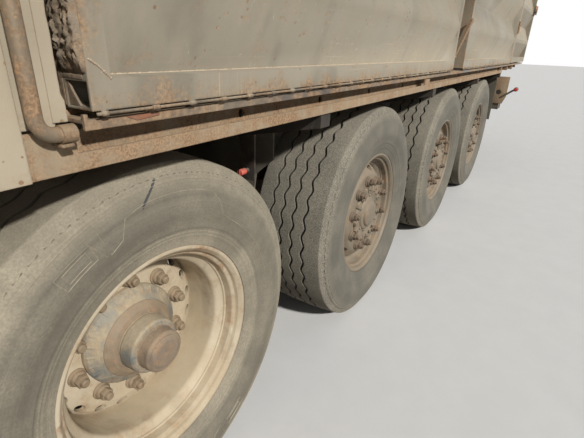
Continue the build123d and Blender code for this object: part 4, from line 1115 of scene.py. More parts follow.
class Repeats:
    """Geometry Nodes trees for what repeats, and for the tyres' tread."""

    KINDS = {int: "NodeSocketInt", float: "NodeSocketFloat", tuple: "NodeSocketVector"}

    def __init__(self) -> None:
        """Build every tree."""
        self.ring = self._ring()
        self.row = self._row()
        self.bolts = self._bolts()
        self.weld = self._weld()
        self.tread = self._tread()

    def _tree(self, name: str, inputs: dict[str, object]) -> tuple[Graph, bpy.types.NodeOutputs]:
        """Start a tree with a geometry in and out, its other inputs, and a material.

        Args:
            name: The tree's name.
            inputs: The tree's other inputs, with their default values.

        Returns:
            The tree's graph, and its inputs as its nodes read them.
        """
        tree = bpy.data.node_groups.new(name, "GeometryNodeTree")
        tree.interface.new_socket("Geometry", in_out="INPUT", socket_type="NodeSocketGeometry")
        for key, value in inputs.items():
            kind = self.KINDS[type(value)]
            tree.interface.new_socket(key, in_out="INPUT", socket_type=kind).default_value = value
        tree.interface.new_socket("Material", in_out="INPUT", socket_type="NodeSocketMaterial")
        tree.interface.new_socket("Geometry", in_out="OUTPUT", socket_type="NodeSocketGeometry")
        graph = Graph(tree)
        return graph, graph.node("NodeGroupInput").outputs

    @staticmethod
    def _finish(graph: Graph, fed: bpy.types.NodeOutputs, shape: Socket) -> Tree:
        """End a tree in Realize Instances and Set Material.

        Args:
            graph: The tree that is being built.
            fed: The tree's own inputs, as its nodes read them.
            shape: The shape that the tree has made.

        Returns:
            The finished tree.
        """
        real = graph.first("GeometryNodeRealizeInstances", {0: shape})
        graph.node("NodeGroupOutput",
                   {0: graph.first("GeometryNodeSetMaterial",
                                   {"Geometry": real, "Material": fed["Material"]})})
        return graph.tree

    def _spread(self, graph: Graph, fed: bpy.types.NodeOutputs, points: Socket, shape: Socket,
                **more: object) -> Tree:
        """End a tree in a shape that stands on every point."""
        inputs = {"Points": points, "Instance": shape, **more}
        return self._finish(graph, fed, graph.first("GeometryNodeInstanceOnPoints", inputs))

    @staticmethod
    def _read(graph: Graph, name: str, kind: str = "FLOAT") -> Socket:
        """What an attribute holds."""
        return graph.first("GeometryNodeInputNamedAttribute", {"Name": name}, data_type=kind)

    def _ring(self) -> Tree:
        """The given shape repeated round an axis along Y.

        Returns:
            The finished tree.
        """
        graph, fed = self._tree("ring", {"Count": 10, "Centre": (0, 0, 0), "Phase": 0.0})
        points = graph.first("GeometryNodePoints",
                             {"Count": fed["Count"], "Position": fed["Centre"]})
        place = graph.plus(graph.first("GeometryNodeInputIndex"), fed["Phase"])
        share = graph.math("DIVIDE", place, fed["Count"])
        turn = graph.first("ShaderNodeCombineXYZ", {"Y": graph.times(share, math.tau)})
        return self._spread(graph, fed, points, fed["Geometry"], Rotation=turn)

    def _row(self) -> Tree:
        """The given shape repeated along a line.

        Returns:
            The finished tree.
        """
        graph, fed = self._tree("row", {"Count": 5, "Pitch": (0.1, 0, 0)})
        line = graph.first("GeometryNodeMeshLine", {"Count": fed["Count"], "Offset": fed["Pitch"]})
        return self._spread(graph, fed, line, fed["Geometry"])

    def _bolts(self) -> Tree:
        """A hexagon bolt on a washer at every point, along the point's facing.

        Returns:
            The finished tree.
        """
        graph, fed = self._tree("bolts", {"Radius": 0.012, "Height": 0.01, "Seed": 3})
        head = graph.first("GeometryNodeMeshCylinder",
                           {"Vertices": 6, "Radius": fed["Radius"], "Depth": fed["Height"]})
        lift = graph.first("ShaderNodeCombineXYZ",
                           {"Z": graph.plus(graph.times(fed["Height"], 0.5), 0.002)})
        head = graph.first("GeometryNodeTransform", {"Geometry": head, "Translation": lift})
        washer = graph.first("GeometryNodeMeshCylinder",
                             {"Vertices": 14, "Radius": graph.times(fed["Radius"], 1.4),
                              "Depth": 0.005})
        bolt = graph.node("GeometryNodeJoinGeometry", {0: washer})
        graph.feed(bolt.inputs[0], head)
        facing = self._read(graph, "facing", "FLOAT_VECTOR")
        aim = graph.first("FunctionNodeAlignRotationToVector", {"Vector": facing}, axis="Z")
        chance = graph.node("FunctionNodeRandomValue", {"Seed": fed["Seed"]},
                            data_type="FLOAT").outputs[1]
        spin = graph.first("ShaderNodeCombineXYZ", {"Z": chance})
        aim = graph.first("FunctionNodeRotateRotation", {0: aim, 1: spin}, rotation_space="LOCAL")
        return self._spread(graph, fed, fed["Geometry"], bolt.outputs[0], Rotation=aim)

    def _weld(self) -> Tree:
        """Overlapping beads along the given edges.

        Returns:
            The finished tree.
        """
        graph, fed = self._tree("weld", {"Radius": 0.004, "Pitch": 0.006, "Seed": 5})
        line = graph.first("GeometryNodeMeshToCurve", {0: fed["Geometry"]})
        line = graph.first("GeometryNodeResampleCurve", {"Curve": line, "Length": fed["Pitch"]},
                           mode="LENGTH")
        bead = graph.first("GeometryNodeMeshIcoSphere",
                           {"Radius": fed["Radius"], "Subdivisions": 1})
        chance = graph.node("FunctionNodeRandomValue", {2: 0.75, 3: 1.25, "Seed": fed["Seed"]},
                            data_type="FLOAT").outputs[1]
        turn = graph.first("ShaderNodeCombineXYZ", {"X": graph.times(chance, 5.0)})
        return self._spread(graph, fed, line, bead, Rotation=turn, Scale=chance)

    def _tread(self) -> Tree:
        """Grooves that sway round a turned tyre, and notches in its shoulders.

        Returns:
            The finished tree.
        """
        graph, fed = self._tree("tread",
                                {"Depth": 0.014, "Sway": 0.007, "Periods": 42, "Notches": 84,
                                          "Notch Depth": 0.006})
        names = ("turn", "sway", "sink", "notch")
        turn, sway, sink, edge = (self._read(graph, name) for name in names)
        place = graph.times(turn, graph.times(fed["Periods"], 2.0))
        wave = graph.math("MULTIPLY_ADD", graph.math("PINGPONG", place, 1.0), 2.8, -1.4)
        wave = graph.math("MAXIMUM", graph.math("MINIMUM", wave, 1.0), -1.0)
        aside = graph.times(graph.times(wave, sway), fed["Sway"])
        beat = graph.math("FRACT", graph.math("MULTIPLY_ADD", turn, fed["Notches"], 0.05))
        notch = graph.times(graph.math("LESS_THAN", beat, 0.3), edge)
        drop = graph.plus(graph.times(sink, fed["Depth"]), graph.times(notch, fed["Notch Depth"]))
        here = graph.first("GeometryNodeInputPosition")
        out = graph.vector("NORMALIZE", graph.vector("MULTIPLY", here, (1, 0, 1)), (0, 0, 0))
        inward = graph.first("ShaderNodeVectorMath", {0: out, "Scale": graph.times(drop, -1.0)},
                             operation="SCALE")
        shift = graph.vector("ADD", inward, graph.first("ShaderNodeCombineXYZ", {"Y": aside}))
        inputs = {"Geometry": fed["Geometry"], "Offset": shift}
        return self._finish(graph, fed, graph.first("GeometryNodeSetPosition", inputs))

    @staticmethod
    def grow(tree: Tree, base: Mesh, material: Material, **values: object) -> Mesh:
        """Run a tree on a mesh.

        Args:
            tree: The Geometry Nodes tree.
            base: The mesh that goes in.
            material: What its Set Material puts on.
            values: Other inputs by name.

        Returns:
            The result as a plain mesh.
        """
        holder = linked(base.name, base)
        modifier = holder.modifiers.new(tree.name, "NODES")
        modifier.node_group = tree
        wanted = values | {"Material": material}
        for socket in tree.interface.items_tree:
            if socket.in_out == "INPUT" and socket.name in wanted:
                modifier[socket.identifier] = wanted[socket.name]
        return baked(holder)


def points_mesh(name: str, spots: Sequence[Point], facings: Sequence[Point]) -> Mesh:
    """A mesh of loose points, each with the way it faces.

    Args:
        name: The mesh's name.
        spots: The points.
        facings: The way that each point faces.

    Returns:
        The mesh.
    """
    made = bpy.data.meshes.new(name)
    made.from_pydata([tuple(spot) for spot in spots], [], [])
    facing = made.attributes.new("facing", "FLOAT_VECTOR", "POINT")
    for item, value in zip(facing.data, facings):
        item.vector = value
    return made


def lines_mesh(name: str, lines: Sequence[Sequence[Point]]) -> Mesh:
    """A mesh of open lines without faces.

    Args:
        name: The mesh's name.
        lines: The lines, each as its points.

    Returns:
        The mesh.
    """
    made = bpy.data.meshes.new(name)
    spots, edges = [], []
    for line in lines:
        edges += [(len(spots) + index, len(spots) + index + 1) for index in range(len(line) - 1)]
        spots += [tuple(point) for point in line]
    made.from_pydata(spots, edges, [])
    return made


# The shop

class Shop:
    """The frame, the finishes and the trees, and the placing of finished pieces."""

    def __init__(self, frame: dict) -> None:
        """Build the materials and dress the nodes that stay.
        """
        effects = Effects()
        self.frame = frame
        self.repeats = Repeats()
        self.materials = {finish.name: finish.build(effects) for finish in FINISHES}
        self.count = 0
        for node, finish in NODE_FINISHES.items():
            slots = frame["nodes"][node].data.materials
            slots.clear()
            slots.append(self.materials[finish])

    def place(self, name: str, shape: Union[Form, Mesh], body: str, finish: str,
              replaces: Sequence[str] = (), crease: float = 35.0) -> Piece:
        """Make a piece of a shape.

        Args:
            name: The piece's name.
            shape: A form, or a mesh in the truck's frame.
            body: The body it rides on.
            finish: The name of its finish.
            replaces: CAD nodes that it stands for.
            crease: The angle in degrees above which an edge stays sharp.

        Returns:
            The placed object.
        """
        mesh = shape.mesh(name) if isinstance(shape, Form) else shape
        mesh.name = name
        mesh.materials.clear()
        mesh.materials.append(self.materials[finish])
        mesh.polygons.foreach_set("material_index", [0] * len(mesh.polygons))
        mesh.shade_smooth()
        mesh.set_sharp_from_angle(angle=math.radians(crease))
        piece = linked(name, mesh)
        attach(piece, body)
        if replaces:
            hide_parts(*replaces)
        self.count += 1
        LOG.info("placed %s on %s: %d faces", name, body, len(mesh.polygons))
        return piece

    def ring(self, shape: Form, finish: str, count: int, phase: float = 0.0) -> Mesh:
        """A shape repeated round the Y axis."""
        return self.repeats.grow(self.repeats.ring, shape.mesh("ring"), self.materials[finish],
                                 Count=count, Phase=phase)

    def row(self, shape: Form, finish: str, count: int, pitch: Point) -> Mesh:
        """A shape repeated along a line."""
        return self.repeats.grow(self.repeats.row, shape.mesh("row"), self.materials[finish],
                                 Count=count, Pitch=pitch)

    def bolts(self, spots: Sequence[Point], facing: Point, finish: str, radius: float,
              height: float) -> Mesh:
        """Hexagon bolts at spots that all face one way.

        Args:
            spots: Where they stand.
            facing: The way that all of them face.
            finish: The name of the finish.
            radius: The radius of their heads.
            height: The height of their heads.

        Returns:
            The mesh.
        """
        base = points_mesh("bolts", spots, [facing] * len(spots))
        return self.repeats.grow(self.repeats.bolts, base, self.materials[finish], Radius=radius,
                                 Height=height)

    def weld(self, lines: Sequence[Sequence[Point]], finish: str, radius: float = 0.004,
             pitch: float = 0.006) -> Mesh:
        """Weld beads along lines."""
        return self.repeats.grow(self.repeats.weld, lines_mesh("weld", lines),
                                 self.materials[finish], Radius=radius, Pitch=pitch)


@dataclass
class Assembly:
    """Some of the truck's pieces, placed when it is made.

    Attributes:
        shop: Where the pieces are placed.
    """

    shop: Shop

    def put(self, side: Side, name: str, shape: Union[Form, Mesh], body: str, finish: str,
            replaces: Sequence[str] = (), crease: float = 35.0) -> Piece:
        """Place a piece that is named for its side."""
        return self.shop.place(f"{name}_{side.word}", shape, body, finish, replaces, crease)


# Wheels

HALF_TRACK = 1.053
DEEP_INSET = 0.030  # How much further in the driven wheels stand
WHEEL_RADIUS = 0.520
PHOTO_SPIN = -0.085  # The driven wheel's turn in the photograph
SPIN_STEP = 0.37  # Every other wheel stands turned by so much more than the last


class WheelKind(Enum):
    """The two kinds of wheel: the driven one's disc lies deep in the rim."""

    DEEP = "deep"
    SHALLOW = "shallow"


@dataclass(frozen=True)
class Station:
    """Where a wheel stands.

    Attributes:
        name: The middle of its node and body names.
        x: Its axle's place.
        side: Its side of the truck.
        kind: Its kind of wheel.
    """

    name: str
    x: float
    side: Side
    kind: WheelKind

    @property
    def title(self) -> str:
        """The station's name with its side."""
        return f"{self.name}_{self.side.word}"

    def matrix(self, spin: float) -> Matrix:
        """Takes a wheel from the origin, its outer side on +Y, to this station.

        Args:
            spin: The wheel's turn about its axle.

        Returns:
            The matrix.
        """
        face = Matrix.Rotation(0.0 if self.side is Side.LEFT else math.pi, 4, "Z")
        out = HALF_TRACK - (DEEP_INSET if self.kind is WheelKind.DEEP else 0.0)
        spot = (self.x, self.side.value * out, WHEEL_RADIUS)
        return Matrix.Translation(spot) @ face @ Matrix.Rotation(spin, 4, "Y")


STATIONS = tuple(Station(name, x, side, kind) for side in Side for name, x, kind in (
    ("steer", 3.510, WheelKind.SHALLOW), ("drive", 1.556, WheelKind.DEEP),
    ("trail_1", 0.310, WheelKind.SHALLOW), ("trail_2", -0.998, WheelKind.SHALLOW),
    ("trail_3", -2.306, WheelKind.SHALLOW)))


@dataclass
class Tyre:
    """A wide road tyre with five ribs, swaying grooves and shoulder notches.

    Attributes:
        kind: The wheel that it is on; the driven wheel's has raised blank panels.
        divisions: Runs round the tyre, three to a notch and six to a sway.
        half_tread: Half the tread's width.
        camber: How much lower the tread's edges lie than its middle.
        grooves: Where the grooves run, across the tread.
        groove_half: Half a groove's width.
        wall: The side's outline from shoulder to bead, as (y, radius, rounding).
        rings: Radii of the fine raised rings on the side.
        notches: Radii between which the shoulder notches are cut.
        ridge: Width and height of the raised lines.
    """

    kind: WheelKind
    divisions: int = 252
    half_tread: float = 0.158
    camber: float = 0.0075
    grooves: tuple[float, ...] = (0.027, 0.081)
    groove_half: float = 0.006
    wall: tuple[Row, ...] = ((0.150, 0.5128), (0.158, 0.5115, 0.006), (0.1815, 0.468, 0.05),
                             (0.193, 0.396, 0.08), (0.168, 0.318, 0.02), (0.163, 0.3003),
                             (0.1475, 0.3003), (0.1465, 0.289), (0.118, 0.282))
    rings: tuple[float, ...] = (0.480, 0.472, 0.352, 0.338, 0.329)
    notches: Pair = (0.488, 0.501)
    ridge: Pair = (0.0028, 0.0011)

    def _crown(self, y: float) -> float:
        """The tread's radius at a place across it."""
        return WHEEL_RADIUS - self.camber * (y / self.half_tread) ** 2

    def _rows(self, outer: bool) -> list[tuple[float, float, float, float, float, float]]:
        """Rows of (y, radius, sway, sink, notch, clean) from the middle of the tread to a bead.

        Args:
            outer: Whether they are for the outer side, which has the rings and the notches.

        Returns:
            The rows.
        """
        rows = [(0.0, self._crown(0), 0.0, 0.0, 0.0, 0.0)]
        for groove in self.grooves:
            for shift, sink in ((-1.0, 0), (-0.78, 1), (0.78, 1), (1.0, 0)):
                y = groove + shift * self.groove_half
                rows.append((y, self._crown(y), 1.0, float(sink), 0.0, 0.95 * sink))
            rows.append((groove + 0.027, self._crown(groove + 0.027), 0.0, 0.0, 0.0, 0.0))
        if not outer:
            return rows + [(y, radius, 0.0, 0.0, 0.0, 0.0) for y, radius in eased(self.wall, 1)]
        low, high = self.notches
        lift = 0.0009
        rings = self.rings + ((0.507, 0.440, 0.418) if self.kind is WheelKind.DEEP else ())
        special = [low, high, low - 0.003, high + 0.003]
        special += [ring + shift for ring in rings for shift in (-0.0022, 0, 0.0022)]
        for y, radius in crossed(eased(self.wall, 4), special):
            is_ring = any(abs(radius - ring) < 1e-6 for ring in rings) and y > 0.15
            notch = 1.0 if low - 1e-6 <= radius <= high + 1e-6 else 0.0
            dark = 0.3 if self.kind is WheelKind.DEEP and 0.345 < radius < 0.458 else 0.0
            rows.append((y + (lift if is_ring else 0), radius, 0.0, 0.0, notch, dark))
        return rows

    def _base(self) -> Mesh:
        """The turned tyre before its tread is cut, with the values that the tread's tree reads.

        Returns:
            The mesh.
        """
        rows = [(-row[0],) + row[1:] for row in self._rows(False)[:0:-1]] + self._rows(True)
        verts, faces, turns = [], [], []
        for index in range(self.divisions):
            angle = math.tau * index / self.divisions - math.pi / 2
            verts += [(row[1] * math.cos(angle), row[0], row[1] * math.sin(angle)) for row in rows]
        count = len(rows)
        for index in range(self.divisions):
            after = (index + 1) % self.divisions
            for row in range(count):
                beside = (row + 1) % count
                faces.append((index * count + row, index * count + beside, after * count + beside,
                              after * count + row))
                turns.append(index)
        mesh = bpy.data.meshes.new("tyre")
        mesh.from_pydata(verts, [], faces)
        for slot, name in ((2, "sway"), (3, "sink"), (4, "notch"), (5, "clean")):
            marked(mesh, name, [row[slot] for row in rows] * self.divisions)
        marked(mesh, "turn",
               [index / self.divisions for index in range(self.divisions) for _ in rows])
        lengths = [0.0]
        for first, second in zip(rows, rows[1:]):
            lengths.append(lengths[-1] + math.dist(first[:2], second[:2]))
        lengths = [length / lengths[-1] for length in lengths]
        uv = mesh.uv_layers.new(name="rings")
        for face, index in zip(mesh.polygons, turns):
            for corner, loop in enumerate(face.loop_indices):
                row = mesh.loops[loop].vertex_index % count
                uv.data[loop].uv = ((index + (corner > 1)) / self.divisions, lengths[row])
        return mesh

    def surface(self, angle: float, radius: float) -> tuple[Vector, Vector]:
        """The side wall's point and outward direction at an angle in degrees and a radius.

        Args:
            angle: The angle in degrees.
            radius: The radius.

        Returns:
            The point and the direction.
        """
        outline = eased(self.wall, 4)
        y, slope = 0.18, 0.0
        for (y0, r0), (y1, r1) in zip(outline, outline[1:]):
            if r1 <= radius <= r0 and y0 > 0.15:
                y = y0 + (y1 - y0) * (r0 - radius) / (r0 - r1)
                slope = (y1 - y0) / (r1 - r0)
                break
        turn = math.radians(angle)
        out = Vector((-slope * math.cos(turn), 1.0, -slope * math.sin(turn))).normalized()
        return Vector((radius * math.cos(turn), y, radius * math.sin(turn))), out

    def _traced(self, outline: Sequence[Pair], half: float) -> tuple[list[Vector], list[Vector]]:
        """Points along an outline on the side wall.

        Args:
            outline: Its corners as (angle in degrees, radius).
            half: What is added to every angle.

        Returns:
            The points, and the outward direction at each.
        """
        found = []
        for (a0, r0), (a1, r1) in zip(outline, outline[1:]):
            steps = max(2, int(abs(a1 - a0) / 1.2))
            found += [self.surface(half + a0 + (a1 - a0) * step / steps,
                                   r0 + (r1 - r0) * step / steps)
                      for step in range(steps)]
        found.append(self.surface(half + outline[-1][0], outline[-1][1]))
        return [spot for spot, _ in found], [out for _, out in found]

    def _panels(self) -> Form:
        """Raised outlines of blank panels on the outer side, twice round the tyre.

        Returns:
            The form.
        """
        outlines = (
            ((50, 0.4392), (61.1, 0.4384), (60.8, 0.4038), (49.9, 0.4037), (50, 0.4392)),
            ((51.8, 0.432), (59.4, 0.432), (59.2, 0.411), (51.7, 0.411), (51.8, 0.432)),
            ((64.3, 0.4667), (64.5, 0.3903), (69.2, 0.4007), (72.5, 0.4381), (79, 0.4456),
             (97.2, 0.4468), (105.6, 0.4433), (109.1, 0.4271), (113.4, 0.3922), (117.6, 0.3848),
             (166, 0.382)),
            ((46, 0.4653), (64.3, 0.4667)), ((60.6, 0.4496), (63, 0.3950)))
        form = Form()
        for half in (0, 180):
            for outline in outlines:
                spots, outs = self._traced(outline, half)
                form.strip(spots, sideways(spots, outs), outs, *self.ridge)
        return form

    def mesh(self, shop: Shop) -> Mesh:
        """The finished tyre at the origin, its outer side on +Y.

        Args:
            shop: Where the pieces are placed.

        Returns:
            The tyre's mesh.
        """
        cut = shop.repeats.grow(shop.repeats.tread, self._base(), shop.materials["tyre"])
        if self.kind is WheelKind.SHALLOW:
            return cut
        panels = self._panels().mesh("panels")
        marked(panels, "clean", [-0.28] * len(panels.vertices))
        return merged("tyre", [cut, panels])


@dataclass
class Wheel:
    """A disc wheel with its rim, vents, hub and nuts.

    Attributes:
        kind: Whether the disc lies deep or shallow in the rim.
        nuts: How many nuts, and vents, it has.
        stud_circle: Radius of the nuts' circle.
        vent_circle: Radius of the vents' circle.
        gutter: Radii between which the rim's rust gathers.
    """

    kind: WheelKind
    nuts: int = 10
    stud_circle: float = 0.1675
    vent_circle: float = 0.223
    gutter: Pair = (0.2655, 0.2785)

    def _mm(self, rows: Sequence[Row]) -> list[Pair]:
        """An outline in metres, its corners rounded, from rows in millimetres."""
        return eased([tuple(value / 1000 for value in row) for row in rows],
                     3 if self.kind is WheelKind.DEEP else 2)

    @property
    def runs(self) -> int:
        """Runs round the rim: more on the driven wheel, which is seen closest."""
        return 144 if self.kind is WheelKind.DEEP else 84

    def rim(self) -> Mesh:
        """The rolled rim with its disc, the vents cut through.

        Returns:
            The mesh of rim and disc.
        """
        barrel = Form().turned(self._mm([
            (161, 299.5), (150, 299.5, 2), (148, 287, 3), (117, 279), (96, 250), (-34, 250),
            (-56, 266), (-117, 279), (-148, 287), (-150, 299.5), (-161, 299.5), (-163, 292),
            (-154, 279), (-112, 268), (-58, 255), (-36, 241, 16), (92, 240, 16), (106, 262, 5),
            (111, 262, 2), (113, 266, 2), (136, 268, 6), (139, 272, 2), (141, 279, 3),
            (152, 281, 5), (163, 291, 5), (161, 299.5)])[:-1], segments=self.runs)
        deep = ((-8, 120), (-8, 205, 12), (-15, 230, 12), (-30, 246), (-44, 246), (-29, 227, 10),
                (-22, 202, 10), (-22, 120))
        shallow = ((134, 120), (134, 198, 24), (100, 234, 16), (80, 246), (66, 246), (88, 226, 10),
                   (120, 198, 12), (120, 120))
        is_deep = self.kind is WheelKind.DEEP
        disc = Form().turned(self._mm(deep if is_deep else shallow),
                             segments=self.runs).mesh("disc")
        cutters = Form()
        low, high = (-0.06, 0.03) if is_deep else (0.05, 0.16)
        count, wide, tall = self.nuts, 0.024, 0.0125
        if is_deep:
            count, wide, tall = 2 * self.nuts, 0.0175, 0.0105
        for index in range(count):
            angle = math.tau * (index + (0.5 if is_deep else 0.0)) / count
            across = (-math.sin(angle), math.cos(angle))
            outline = []
            for step in range(20):
                turn = math.tau * step / 20
                radius = self.vent_circle + tall * math.sin(turn)
                aside = wide * math.cos(turn)
                outline.append((radius * math.cos(angle) + aside * across[0], low,
                                radius * math.sin(angle) + aside * across[1]))
            cutters.plate(outline, (0, high - low, 0))
        disc = carved(disc, cutters.mesh("vents"))
        made = merged("rim", [barrel.mesh("barrel"), disc])
        low, high = self.gutter
        marked(made, "wear",
               [0.8 if low < math.hypot(vert.co.x,
                                        vert.co.z) < high else 0.0 for vert in made.vertices])
        return made

    def hub(self, shop: Shop) -> Mesh:
        """Hub, drum and cap, with the ribs or teeth of its flange.

        Args:
            shop: Where the pieces are placed.

        Returns:
            The hub's mesh.
        """
        paint = "hub_paint" if self.kind is WheelKind.DEEP else "rim_paint"
        form, ribs = Form(), Form()
        if self.kind is WheelKind.DEEP:
            form.turned(self._mm([(-110, 46), (-110, 90), (-60, 96), (-56, 198), (-146, 198),
                                  (-146, 208), (-44, 208), (-22, 186), (-22, 142), (-4, 143.5),
                                  (4, 143.5, 3), (12, 139, 4), (22, 126, 16), (50, 92, 10),
                                  (53, 77, 2), (56, 77, 1), (60, 78.5, 2), (97, 75.5, 5),
                                  (101, 70, 2), (101, 60), (90, 58), (90, 0), (-10, 0),
                                  (-10, 46)])[:-1] + [(-0.010, 0.0)], segments=96)
            ribs.plate([(0.104, 0.0345, -0.0022), (0.128, 0.0205, -0.003), (0.140, 0.0125, -0.003),
                        (0.1415, 0.0035, -0.003), (0.128, 0.0, -0.003), (0.104, 0.0, -0.0022)],
                       (0, 0, 0.006), bevel=0.0012)
            parts = [shop.ring(ribs, paint, 28)]
        else:
            form.turned(self._mm([(-20, 46), (-20, 90), (92, 96), (96, 198), (-110, 198),
                                  (-110, 208), (104, 208), (120, 186), (120, 137), (139, 136, 4),
                                  (144, 128, 3), (146, 112, 3), (139, 94, 4), (139, 84, 3),
                                  (149, 80, 3), (152, 64, 2), (156, 63, 1), (163, 60, 5),
                                  (168, 40, 6), (169, 0), (60, 0), (60, 46)])[:-1] + [(0.060, 0.0)],
                        segments=72)
            ribs.box((0.112, 0.141), (0.128, 0.1515), (-0.009, 0.009), 0.003)
            small = Form().rod((0.089, 0.136, 0), (0.089, 0.1455, 0), 0.0075, 6, bevel=0.0008)
            lip = Form().rod((0.129, 0.148, 0), (0.129, 0.1575, 0), 0.0065, 6, bevel=0.0008)
            parts = [shop.ring(ribs, paint, 20), shop.ring(small, "nut_iron", 10),
                     shop.ring(lip, "nut_iron", 10, 0.5)]
        return merged("hub", [form.mesh("hub")] + parts)

    def hub_coats(self) -> dict[str, Mesh]:
        """The deep hub's rusty cone and its cap, each with its own finish.

        Returns:
            The meshes, by finish.
        """
        cone = Form().turned(self._mm([(35.5, 110), (50.8, 92.6, 9), (53.8, 78.5), (52, 77),
                                       (44, 92), (34, 108)]),
                             segments=96)
        cap = Form().turned(self._mm([(92, 0), (92, 57.6), (101, 60, 1), (104, 58.6, 1),
                                      (134, 57.6, 5), (140, 49, 4), (138.5, 47, 1), (141, 44, 1),
                                      (145, 36, 8), (147, 10, 6), (148, 0)]),
                            segments=96)
        return {"cone_rust": cone.mesh("cone"), "cap_rust": cap.mesh("cap")}

    def nut_circle(self, shop: Shop) -> Mesh:
        """Flanged nuts on sleeves, with their studs' ends.

        Args:
            shop: Where the pieces are placed.

        Returns:
            The nuts' mesh.
        """
        base = -0.008 if self.kind is WheelKind.DEEP else 0.134
        nut = Form()
        centre = (self.stud_circle, base, 0.0)
        sleeve = self._mm([(-3, 0), (-3, 24.5), (4.5, 24.5, 1.5), (6, 21, 1), (13, 20, 1),
                           (16, 18, 1.5), (17.5, 15.5), (17.5, 0)])
        nut.turned(sleeve, centre, 20 if self.kind is WheelKind.DEEP else 12)
        nut.rod((centre[0], base + 0.016, 0), (centre[0], base + 0.031, 0), 0.0175, 6, bevel=0.0012)
        nut.turned(self._mm([(29, 0), (29, 11.5), (41, 11, 1), (44, 8), (44, 0)]), centre, 12)
        return shop.ring(nut, "nut_iron", self.nuts, 0.5)


class Wheels:
    """Every wheel and tyre of the truck."""

    def __init__(self, shop: Shop) -> None:
        """Make one of each kind, then set copies at the stations.

        Args:
            shop: Where the pieces are placed.
        """
        made = {}
        for kind in WheelKind:
            wheel = Wheel(kind)
            made[kind] = (Tyre(kind).mesh(shop), wheel.rim(), wheel.hub(shop),
                          wheel.nut_circle(shop))
        for index, station in enumerate(STATIONS):
            spin = PHOTO_SPIN if station.name == "drive" else SPIN_STEP * index
            body = f"wheel_{station.title}"
            tyre, rim, hub, nuts = (part.copy() for part in made[station.kind])
            for part in (tyre, rim, hub, nuts):
                part.transform(station.matrix(spin))
            dusty = station.kind is WheelKind.DEEP
            paint = "rim_paint" if dusty else "rim_worn"
            if dusty:
                self._dirt(shop, station, spin)
            shop.place(f"tyre_{station.title}_dressed", tyre, body,
                       "tyre_dusty" if dusty else "tyre", [f"tyre_{station.title}"], 50)
            shop.place(f"rim_{station.title}_dressed", rim, body, paint, [f"rim_{station.title}"],
                       WHEEL_CREASE)
            shop.place(f"hub_{station.title}", hub, body, "hub_paint" if dusty else paint, (),
                       WHEEL_CREASE)
            shop.place(f"nuts_{station.title}", nuts, body, "nut_iron" if dusty else "nut_dark", (),
                       WHEEL_CREASE)

    def _dirt(self, shop: Shop, station: Station, spin: float) -> None:
        """The rusty cone and cap of a driven wheel's hub, and the dark scuff on its tyre.

        Args:
            shop: Where the pieces are placed.
            station: Where the wheel stands.
            spin: The wheel's turn about its axle.
        """
        body = f"wheel_{station.title}"
        for finish, mesh in Wheel(station.kind).hub_coats().items():
            mesh.transform(station.matrix(spin))
            shop.place(f"{finish}_{station.title}", mesh, body, finish, (), WHEEL_CREASE)
        tyre, scuff = Tyre(station.kind), Form()
        for shift, half in ((0.0, 0.0045), (0.006, 0.002)):
            found = [tyre.surface(84.3 - share * 6.2 + shift * 60, 0.4835 - share * 0.046)
                     for share in (0.0, 0.12, 0.25, 0.4, 0.55, 0.7, 0.85, 1.0)]
            spots, outs = [spot for spot, _ in found], [out for _, out in found]
            scuff.strip(spots, sideways(spots, outs), outs, half * 2, 0.0007)
        mesh = scuff.mesh("scuff")
        mesh.transform(station.matrix(spin))
        shop.place(f"scuff_{station.title}", mesh, body, "scuff_black")


# Body

